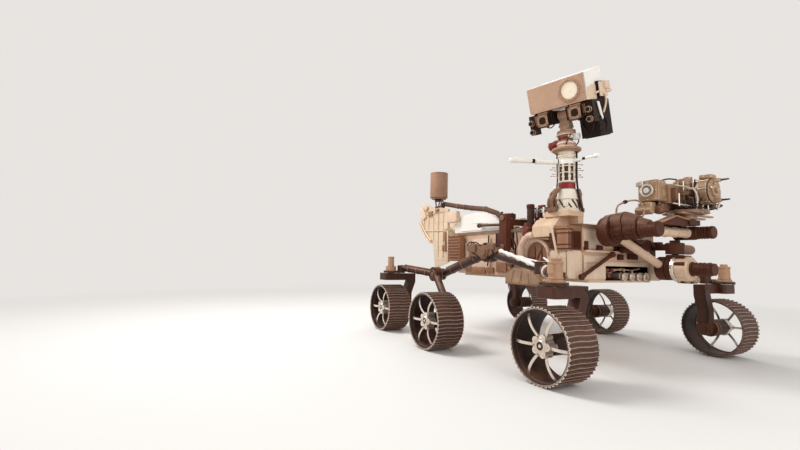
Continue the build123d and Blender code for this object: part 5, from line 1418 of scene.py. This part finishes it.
elbow_hub = place(1346, -360, 1085)
piece("forearm_hub", arm_brown, [
    turned([(-2, 30), (-2, 67), (4, 70), (20, 70), (26, 68), (74, 68), (80, 71), (97, 70), (102, 67), (102, 30),
        (-2, 30)], elbow_hub, ahead_x, 48),
    *ridges(elbow_hub + ahead_x * 0.05, 16, 0.0685, (46, 9, 8))], "arm_forearm")
piece("forearm_cover", elbow_brown, [
    saddle_cover(elbow_hub + ahead_x * 0.002, 97, 68, (148, 112))], "arm_forearm")
wrist = place(1350, 440, 1105)
piece("wrist_motor", arm_brown, [
    turned([(-2, 30), (-2, 55.5), (3, 58), (88, 58), (94, 55.5), (94, 0)], wrist, ahead_x, 44),
    turned([(92, 0), (92, 52), (98, 54), (110, 54), (116, 49.5), (196, 49.5), (202, 53), (220, 53), (226, 50),
        (229, 46), (229, 0)], wrist, ahead_x, 40),
    *bands(wrist, ahead_x, (130, 152, 174), 6, 49.5, 3.5, 40),
    *bands(wrist, ahead_x, (10, 44, 74), 5, 56, 3, 40)], "arm_forearm")
piece("forearm_bands", arm_cream, [
    band(place(1396, y, 1085 + 20 * (y + 360) / 800), left_y, -w, w, 38, 5, 36) for y, w in (
        (-270, 10), (364, 12), (60, 3), (200, 2))], "arm_forearm")
share = np.linspace(-260, 350, 44)
path = np.stack([np.full(44, middle_axle_x + 1.396 - 0.02), share / 1000,
    (1085 + 20 * (share + 360) / 800 + 42) / 1000 + 0.003 * np.sin(share / 38)], -1)
shapes = [pipe(path, 6, 8)]
path = path - np.array([0.014, 0, 0.012]) - 0.002 * np.sin(share / 24)[:, None] * up_z
shapes += [pipe(path, 5, 8)]
piece("forearm_cables", drill_dark, shapes, "arm_forearm")

wrist_disc = place(1278, 440, 1105)
piece("wrist_rings", drill_dark, [
    turned([(-2, 0), (-2, 55.5), (2, 58), (63, 58), (67.5, 55.5), (67.5, 30)], wrist_disc, ahead_x, 44),
    *bolt_ring(wrist_disc - ahead_x * 0.002, -ahead_x, 40, 10, 4.5, 4),
    band(place(1420, 330, 1206), up_z, -8, -2, 60, 6, 36),
    deck_block(1310, 360, 1184, (60, 210, 30), 6, 4),
    drum(place(1340, 262, 1140), left_y, 90, 22, 4, 24)], "arm_wrist")
piece("wrist_plates", turret_grey, [
    *[front_block(1346, y, z, (w, h, 10), 5, 3) for y, z, w, h in (
        (300, 1186, 70, 26), (420, 1170, 60, 70), (470, 1140, 30, 60))],
    *bolts([place(1351, y, z) for y, z in (
        (280, 1186), (320, 1186), (404, 1190), (436, 1150), (404, 1150), (436, 1190))], ahead_x, 4.5, 4)],
        "arm_wrist")
piece("wrist_gusset", column_dark, [
    slab([(-150, 1150), (252, 1150), (252, 1195), (60, 1216)], place(1436, 0, 0), left_y, up_z, 44, 5),
    deck_block(1440, 150, 1180, (60, 220, 34), 8, 5)], "arm_wrist")
piece("gusset_roof", motor_tan, [
    block(place(1458, -48, 1188), ahead_x, unit(0, 0.955, 0.297), (74, 214, 7), 5, 3),
    block(place(1458, 154, 1210), ahead_x, unit(0, 0.994, -0.11), (74, 190, 7), 5, 3)], "arm_wrist")

# Turret: plates, core fittings, drill, scanner, drum, rods, tubes and cables
turret = place(1420, 330, 0)


def turret_at(forward, left, z):
    """A point by its distances ahead and to the left of the turret's axis, and its height, in mm."""
    return turret + np.array([forward, left, z]) / 1000


def turret_block(forward, left, z, size, corner=6.0, edge=3.0):
    """A block of the turret, its sizes given ahead, to the left and upwards."""
    return block(turret_at(forward, left, z), ahead_x, left_y, size, corner, edge)


piece("turret_planks", motor_tan, [
    block(turret_at(40, 150, 1252), left_y, ahead_x, (360, 40, 14), 6, 4),
    block(turret_at(-20, 170, 1238), left_y, ahead_x, (330, 34, 14), 6, 4),
    block(turret_at(60, -130, 1252), left_y, ahead_x, (170, 50, 12), 6, 4)], "arm_turret")
piece("turret_rings", turret_grey, [
    band(turret_at(0, 0, 1262), up_z, -3, 3, 165, 4, 56),
    band(turret_at(0, 0, 1282), up_z, -2, 12, 92, 12, 40),
    *bolt_ring(turret_at(0, 0, 1282), up_z, 146, 20, 6, 7),
    *bolt_ring(turret_at(0, 0, 1262), -up_z, 146, 20, 6, 6),
    *[band(turret_at(0, 0, z), up_z, 0, 12, 88, 6, 44) for z in (1330, 1410, 1500)],
    drum(turret_at(0, 0, 1530), up_z, 22, 70, 6),
    drum(turret_at(20, 12, 1550), up_z, 20, 34, 5)], "arm_turret")
shapes = []
for index, angle in enumerate((18, 52, 96, 140, 200, 232, 268, 308, 340)):
    out = level(radians(angle))
    base = turret_at(0, 0, 1288) + out * 0.108
    shapes += [drum(base, up_z, (150, 190, 120, 176, 150)[index % 5], (15, 11, 20, 13, 17)[index % 5], 4, 16)]
for forward, left, z, width, depth, high in (
    (96, 96, 1360, 60, 54, 90), (100, -104, 1340, 56, 60, 70), (-96, 110, 1400, 64, 60, 80),
    (60, 150, 1318, 70, 60, 40), (150, 84, 1330, 60, 60, 60), (10, -128, 1320, 80, 50, 52),
    (120, 60, 1500, 56, 60, 50), (-60, -150, 1310, 70, 60, 40)):
    shapes += [turret_block(forward, left, z, (width, depth, high), 8, 5)]
piece("turret_fittings", drill_dark, shapes, "arm_turret")
rods = (
    ((150, 40, 1286), (150, 40, 1420)), ((126, -88, 1284), (126, -88, 1450)), ((110, 130, 1284), (110, 130, 1430)),
    ((150, 70, 1350), (120, 240, 1350)), ((90, -120, 1460), (60, -262, 1470)), ((100, 60, 1520), (190, 40, 1500)),
    ((60, 96, 1500), (60, 220, 1480)), ((-20, -120, 1500), (-60, -262, 1500)), ((130, -60, 1300), (60, -300, 1320)),
    ((100, 110, 1470), (200, 60, 1440)), ((80, -250, 1300), (80, -250, 1400)), ((90, 180, 1284), (84, 180, 1340)))
piece("turret_rods", silver_bright, [
    *[pipe([turret_at(*low), turret_at(*high)], 6.5, 10) for low, high in rods],
    *[drum(turret_at(*high), up_z, 12, 11, 3, 12) for low, high in rods[:3]],
    *[hose([turret_at(*p) for p in run_points], 30, 8, 10) for run_points in (
        ((148, 110, 1300), (156, 112, 1400), (150, 100, 1470), (120, 86, 1500), (90, 60, 1490)),
        ((140, -110, 1300), (150, -120, 1380), (130, -130, 1440), (90, -130, 1450)),
        ((170, 140, 1290), (180, 160, 1360), (170, 180, 1430), (130, 170, 1490), (80, 150, 1500)))]], "arm_turret")
piece("turret_cables", cable_black, [
    hose([turret_at(*p) for p in run_points], 34, 6) for run_points in (
        ((120, -140, 1290), (160, -90, 1350), (140, -30, 1440), (90, 20, 1530), (20, 60, 1552)),
        ((-100, 60, 1290), (-140, 100, 1380), (-110, 130, 1470), (-40, 110, 1536)),
        ((40, -250, 1330), (90, -220, 1300), (140, -150, 1296), (170, -60, 1290)),
        ((100, 100, 1290), (160, 130, 1300), (180, 200, 1330), (120, 260, 1350), (70, 290, 1370)),
        ((0, -120, 1540), (-40, -180, 1544), (-90, -250, 1520)),
        ((110, -100, 1290), (120, -160, 1330), (60, -230, 1350)))], "arm_turret")

bright, pale = [], []
for index in range(22):
    angle = radians(-118 + 8.3 * index)
    out = level(angle)
    flat = np.array([-sin(angle), cos(angle), 0])
    rise_z = (1318, 1452, 1366, 1500, 1412, 1340, 1478)[index % 7]
    spot = turret_at(0, 0, rise_z) + out * (0.108 + 0.012 * (index % 3))
    kind = index % 4
    if kind == 0:
        bright.append(drum(spot - out * 0.03, out, 46, 13, 4, 16))
    elif kind == 1:
        pale.append(block(spot, flat, up_z, (30, 44, 40), 6, 4))
    elif kind == 2:
        bright.append(pipe([spot - up_z * 0.04, spot + up_z * 0.045], 6, 10))
    else:
        pale.append(drum(spot - up_z * 0.02, up_z, 44, 17, 4, 16))
bright += [hose([turret_at(*p) for p in (
    (84, -40, 1500), (92, 0, 1528), (96, 60, 1530), (98, 88, 1500), (100, 92, 1440), (100, 84, 1380))], 34, 9, 12)]
bright += [block(turret_at(-150, -390, 1494), ahead_x, up_z, (62, 40, 16), 6, 4),
           drum(turret_at(120, 70, 1508), up_z, 16, 22, 4, 20)]
bright += [pipe([turret_at(-60, -270, 1246), turret_at(-60, -270, 1350)], 8, 10)]
pale += [drum(turret_at(-150, -440, 1262), ahead_x, 130, 34, 8, 28),
         turret_block(-90, -400, 1300, (110, 70, 60), 10, 6)]
pale += [turret_block(176, 0, 1545, (84, 90, 34), 14, 8), drum(turret_at(150, -30, 1532), up_z, 30, 24, 6, 20)]
piece("turret_bright", silver_bright, bright, "arm_turret")
piece("turret_pale", foil_pale, pale, "arm_turret")

drill_face = turret_at(130, 0, 1430)
shapes = [turned([(-2, 0), (-2, 96), (2, 107), (14, 108), (16, 105.5), (60, 105.5), (62, 108), (74, 108), (80, 98),
    (86, 96), (87, 0)], drill_face, ahead_x, 56)]
shapes += bolt_ring(drill_face + ahead_x * 0.086, ahead_x, 84, 12, 5, 5)
shapes += [drum(drill_face + ahead_x * 0.084, ahead_x, 16, 50, 5),
           drum(drill_face + ahead_x * 0.098, ahead_x, 22, 22, 4, 24)]
shapes += [block(drill_face + np.array([0.04, 0.05, 0.1]), ahead_x, left_y, (90, 70, 26), 10, 5)]
for sign in (-1, 1):
    shapes += [turned([(0, 0), (0, 20), (16, 22), (60, 16), (66, 12), (66, 0)],
        drill_face + np.array([0.07, 0, sign * 0.08]), ahead_x, 24)]
piece("drill_housing", foil_pale, shapes, "arm_turret")
piece("drill_rods", silver_bright, [
    *[pipe([drill_face + np.array([x0, y0, z0]) / 1000, drill_face + np.array([x1, y1, z1]) / 1000], 5, 8)
        for x0, y0, z0, x1, y1, z1 in (
        (-10, 109, 20, 80, 109, 20), (-10, -109, 10, 80, -109, 10), (-10, 76, 78, 80, 76, 78),
        (-10, -76, 78, 80, -76, 78), (-10, -60, -90, 80, -60, -90))],
    *[block(drill_face + np.array([0.094, y, z]), left_y, up_z, (26, 20, 10), 4, 3) for y, z in (
        (0.06, 0.02), (-0.06, 0.02), (0.0, 0.064))]], "arm_turret")

scanner = turret_at(-87, -325, 1428)
piece("scanner_panels", foil_pale, [
    block(scanner + down_y * 0.061, ahead_x, up_z, (150, 160, 6), 8, 3),
    block(scanner + ahead_x * 0.079, left_y, up_z, (112, 158, 6), 8, 3),
    block(scanner + up_z * 0.086, ahead_x, left_y, (140, 106, 8), 10, 4),
    block(scanner + np.array([0.082, 0.03, -0.02]), left_y, up_z, (40, 60, 12), 5, 4)], "arm_turret")
lens = turret_at(-85, -407, 1430)
shapes = [turned([(-6, 36), (-6, 54), (2, 55), (6, 50), (5, 40), (1, 36), (-6, 36)], lens, down_y, 44)]
centre = turned([(-3, 0), (-3, 22), (7, 22), (9, 14), (8, 0)], lens, down_y, 32)
piece("scanner_centre", cover_white, [centre], "arm_turret")
shapes += corner_bolts(scanner + down_y * 0.064, ahead_x, up_z, 132, 142, down_y, 5, 4, 2, 2)
shapes += corner_bolts(scanner + ahead_x * 0.082, left_y, up_z, 94, 138, ahead_x, 4.5, 4, 2, 2)
piece("scanner_lens", silver_bright, shapes, "arm_turret")
piece("scanner_glass", lens_and_shade_dark, [
    turned([(-4, 32), (-4, 37), (1, 37), (1, 32), (-4, 32)], lens, down_y, 36),
    drum(lens + down_y * 0.004, down_y, 3.5, 6, 1, 16),
    block(scanner + np.array([-0.03, 0.0, -0.1]), ahead_x, left_y, (110, 90, 30), 8, 5)], "arm_turret")
piece("scanner_bracket", motor_brown, [
    turret_block(-60, -290, 1290, (120, 90, 60), 12, 6),
    drum(turret_at(-20, -330, 1268), down_y, 50, 34, 6, 24),
    turret_block(-50, -230, 1296, (70, 60, 66), 8, 5),
    turret_block(30, -200, 1400, (50, 70, 110), 8, 5)], "arm_turret")
sensor = turret_at(0, 90, 1410)
piece("sensor_drum", foil_pale, [
    turned([(6, 80), (6, 88), (14, 88), (14, 85), (60, 85), (60, 88), (68, 88), (68, 85), (130, 85), (130, 90),
        (146, 90), (146, 85), (176, 85), (180, 78), (192, 76), (192, 0)], sensor, left_y, 52),
    *bolt_ring(sensor + left_y * 0.192, left_y, 64, 12, 5, 4),
    drum(sensor + left_y * 0.19, left_y, 20, 36, 5, 32),
    block(sensor + np.array([0.06, 0.1, 0.07]), left_y, unit(-0.75, 0, 0.66), (90, 50, 22), 8, 5)], "arm_turret")

# Steerable antenna and differential

def antenna_at(z):
    """A point of the steerable antenna's turning axis."""
    return place(90, 409, z)


def bar_at(y, z):
    """A point of the differential bar, by its distance to the left and its height."""
    return place(420, y, z)


heading, lean = radians(130), radians(20)
dish_normal = np.array([cos(heading) * cos(lean), sin(heading) * cos(lean), sin(lean)])
dish_right = np.array([-sin(heading), cos(heading), 0.0])
dish_up = np.cross(dish_normal, dish_right)
dish = antenna_at(1524)
front = dish + dish_normal * 0.127


def hexagon(radius, right_mm=0, up_mm=0):
    """The corners of a hexagon on the dish, from its radius and the place of its middle in mm."""
    return [(right_mm + radius * cos(a), up_mm + radius * sin(a)) for a in np.arange(6) * pi / 3]


piece("dish_face", panel_cream, [
    slab(hexagon(150), front, dish_right, dish_up, 2.5, 1.2)], "antenna_dish")
shapes = []
for row in range(-4, 5):
    for column in range(-4, 5):
        a, b = column * 26 + (row % 2) * 13, row * 25
        if abs(b) < 112 and abs(a) * 0.866 + abs(b) * 0.5 < 112:
            shapes += [slab(hexagon(9, a, b), front + dish_normal * 0.002, dish_right, dish_up, 1.6, 0.6)]
piece("dish_elements", tube_pale, shapes, "antenna_dish")
back = dish + dish_normal * 0.105
piece("dish_back", motor_brown, [
    slab(hexagon(90), back - dish_normal * 0.012, dish_right, dish_up, 12.5, 3),
    *[block(back - dish_normal * 0.004 + dish_right * x, dish_right, dish_up, (12, 200, 8), 3, 2)
        for x in (-0.09, 0.09)]], "antenna_dish")
piece("yoke_rings", motor_brown, [
    band(antenna_at(1256), up_z, 4, 12, 46, 4, 36),
    band(antenna_at(1290), up_z, 0, 8, 46, 4, 36),
    *bolt_ring(antenna_at(1300), up_z, 36, 8, 4, 4)], "antenna_turn")
piece("post_rings", motor_brown, [
    band(antenna_at(1150), up_z, 0, 10, 48, 10, 36),
    band(antenna_at(1238), up_z, 0, 10, 48, 4, 36),
    *bolt_ring(antenna_at(1160), up_z, 53, 10, 3.5, 5)])
shapes = [band(bar_at(0, 1150), up_z, 2, 14, 62, 8, 40), drum(bar_at(0, 1238), up_z, 14, 50, 5)]
shapes += bolt_ring(bar_at(0, 1240), up_z, 56, 8, 5, 5)
for side in (-1, 1):
    shapes += [drum(bar_at(side * 700, 1222), up_z, 10, 28, 3, 24),
               block(bar_at(side * 430, 1224), left_y, ahead_x, (300, 30, 8), 5, 3)]
    shapes += bolts([bar_at(side * y, 1228) for y in (300, 360, 430, 500, 560)], up_z, 5, 4)
    shapes += [drum(bar_at(side * 782, z), unit(0, side, 0), 12, 26, 3, 24) for z in (960, 1228)]
piece("differential_fittings", motor_brown, shapes)

# Dark housings between the body's front and the arm's foot: partly real parts, partly painted shade of the space
# behind the arm
housing = place(1218, 440, 976)
piece("azimuth_motor", motor_brown, [
    turned([(0, 0), (0, 36), (8, 43), (180, 43), (190, 40), (200, 43), (350, 44), (366, 36), (370, 0)], housing,
        left_y, 36),
    *bands(housing, left_y, (60, 130, 236, 300), 10, 42, 4, 36),
    deck_block(1166, 462, 985, (110, 44, 40), 8, 5)])
piece("front_housings_shade", column_dark, [
    front_block(1102, 40, 992, (190, 104, 84), 22, 10),
    front_block(1100, 226, 1000, (150, 92, 90), 20, 10),
    drum(place(1112, -80, 950), left_y, 380, 30, 8, 24),
    front_block(1096, -90, 1010, (110, 70, 80), 16, 8),
    hose([place(1146, -70, 968), place(1152, 20, 1040), place(1150, 120, 1010), place(1146, 250, 1040),
        place(1150, 340, 990)], 30, 10)])

# Left side, rear and belly of the body
piece("left_panels", panel_cream, [
    *[side_block(x, 504, z, (w, h, 9), 14, 3) for x, z, w, h in (
        (-430, 900, 300, 330), (-60, 900, 360, 330), (690, 960, 330, 230), (840, 780, 260, 120))],
    side_block(690, 522, 1010, (160, 90, 40), 12, 6)])
shapes = []
for x, z, w, h in ((-430, 900, 276, 306), (-60, 900, 336, 306), (690, 960, 306, 206)):
    shapes += corner_bolts(place(x, 508, z), ahead_x, up_z, w, h, left_y, 5, 4, 4, 4)
piece("left_screws", tube_pale, shapes)
piece("left_boxes", box_brown, [
    side_block(150, 512, 940, (90, 200, 26), 10, 5),
    side_block(430, 512, 760, (160, 90, 26), 10, 5),
    side_block(-520, 516, 1100, (130, 40, 36), 8, 5),
    *slats(place(560, 506, 700), (0, 0, 18), 5, ahead_x, up_z, (180, 8, 14))])
piece("rear_panels", panel_cream, [
    front_block(-626, y, z, (w, h, 12), 10, 4) for y, z, w, h in (
        (-330, 900, 220, 330), (330, 900, 220, 330), (0, 760, 300, 60))])
shapes = []
for y in (-330, 330):
    shapes += corner_bolts(place(-632, y, 900), left_y, up_z, 196, 306, -ahead_x, 5, 4, 3, 4)
shapes += [hose([place(-640, y, 1090), place(-700, y, 1040), place(-780, y * 1.1, 1090), place(-900, y * 1.5, 1090)],
    24, 8) for y in (-300, 300)]
piece("rear_screws", tube_pale, shapes)
piece("belly_panels", box_brown, [
    deck_block(x, y, 667, (w, d, 8), 12, 3) for x, y, w, d in (
        (-300, 0, 380, 620), (150, 0, 380, 620), (620, 0, 400, 620))])
shapes = []
for x, w in ((-300, 350), (150, 350), (620, 370)):
    shapes += corner_bolts(place(x, 0, 663), ahead_x, left_y, w, 590, -up_z, 5, 4, 4, 5)
piece("belly_screws", tube_pale, shapes)
piece("cover_seams", cover_white, [
    hose([place(-400, -504, 1246), place(-277, -508, 1250), place(-100, -506, 1232), place(20, -508, 1200)],
        30, 3.5, 6),
    hose([place(-560, -508, 1170), place(-277, -508, 1168), place(60, -508, 1166)], 20, 5),
    *bolts([place(x, -506, 1180) for x in np.linspace(-620, 60, 13)], down_y, 5, 3.5)])

# Floor, light and the pale background
floor_half = 40
fade_start, fade_end = 3.0, 9.0
floor_colour, background_colour, sky_colour = (0.80, 0.78, 0.755, 1), (0.80, 0.775, 0.75, 1), (1.0, 0.985, 0.97, 1)
sky_strength = 0.62
lamp_aim = Vector((0, 0, 0.8))


def seen_ray(tree):
    """One for the rays that the camera sees straight, by reflection or through glass, and zero for others."""
    ray = tree.nodes.new("ShaderNodeLightPath")
    seen = math_node(tree, "ADD", ray.outputs["Is Camera Ray"], ray.outputs["Is Glossy Ray"])
    return math_node(tree, "ADD", seen, ray.outputs["Is Transmission Ray"], True)


def choose_shader(tree, factor, first, second, output):
    """Send a mix of two shaders to the output's surface."""
    choose = tree.nodes.new("ShaderNodeMixShader")
    for socket, source in zip(choose.inputs, (factor, first, second)):
        tree.links.new(source, socket)
    tree.links.new(choose.outputs[0], tree.nodes[output].inputs["Surface"])


floor_mesh = bpy.data.meshes.new("floor")
floor_mesh.from_pydata([(x * floor_half, y * floor_half, 0) for x, y in ((-1, -1), (1, -1), (1, 1), (-1, 1))],
                       [], [(0, 1, 2, 3)])
floor = bpy.data.objects.new("floor", floor_mesh)
bpy.context.scene.collection.objects.link(floor)
floor_paint = bpy.data.materials.new("floor_paint")
floor_paint.use_nodes = True
floor_shader = floor_paint.node_tree.nodes["Principled BSDF"]
floor_shader.inputs["Base Color"].default_value = floor_colour
floor_shader.inputs["Roughness"].default_value = 0.9
floor_mesh.materials.append(floor_paint)
tree = floor_paint.node_tree
plain = tree.nodes.new("ShaderNodeEmission")
plain.inputs["Color"].default_value = background_colour
spot = tree.nodes.new("ShaderNodeTexCoord")
length = tree.nodes.new("ShaderNodeVectorMath")
length.operation = "LENGTH"
tree.links.new(spot.outputs["Object"], length.inputs[0])
fade = ramp_node(tree, length.outputs["Value"], fade_start, fade_end)
seen_fade = math_node(tree, "MULTIPLY", fade, seen_ray(tree))
choose_shader(tree, seen_fade, floor_shader.outputs[0], plain.outputs[0], "Material Output")

world = bpy.data.worlds.new("studio")
world.use_nodes = True
tree = world.node_tree
light_sky = tree.nodes["Background"]
light_sky.inputs["Color"].default_value = sky_colour
light_sky.inputs["Strength"].default_value = sky_strength
seen_sky = tree.nodes.new("ShaderNodeBackground")
seen_sky.inputs["Color"].default_value = background_colour
seen_sky.inputs["Strength"].default_value = 1.0
choose_shader(tree, seen_ray(tree), light_sky.outputs[0], seen_sky.outputs[0], "World Output")
bpy.context.scene.world = world
bpy.context.scene.view_settings.view_transform = "Standard"

for name, spot, power, size in (
    ("key", (-2.6, -4.2, 6.0), 330, 2.6),
    ("front_fill", (6.0, -1.0, 3.5), 110, 4.0),
    ("back_fill", (-5.0, 4.0, 4.5), 120, 4.0),
):
    lamp_data = bpy.data.lights.new(name, "AREA")
    lamp_data.energy = power
    lamp_data.size = size
    lamp = bpy.data.objects.new(name, lamp_data)
    lamp.location = spot
    lamp.rotation_euler = (lamp_aim - lamp.location).to_track_quat("-Z", "Y").to_euler()
    bpy.context.scene.collection.objects.link(lamp)
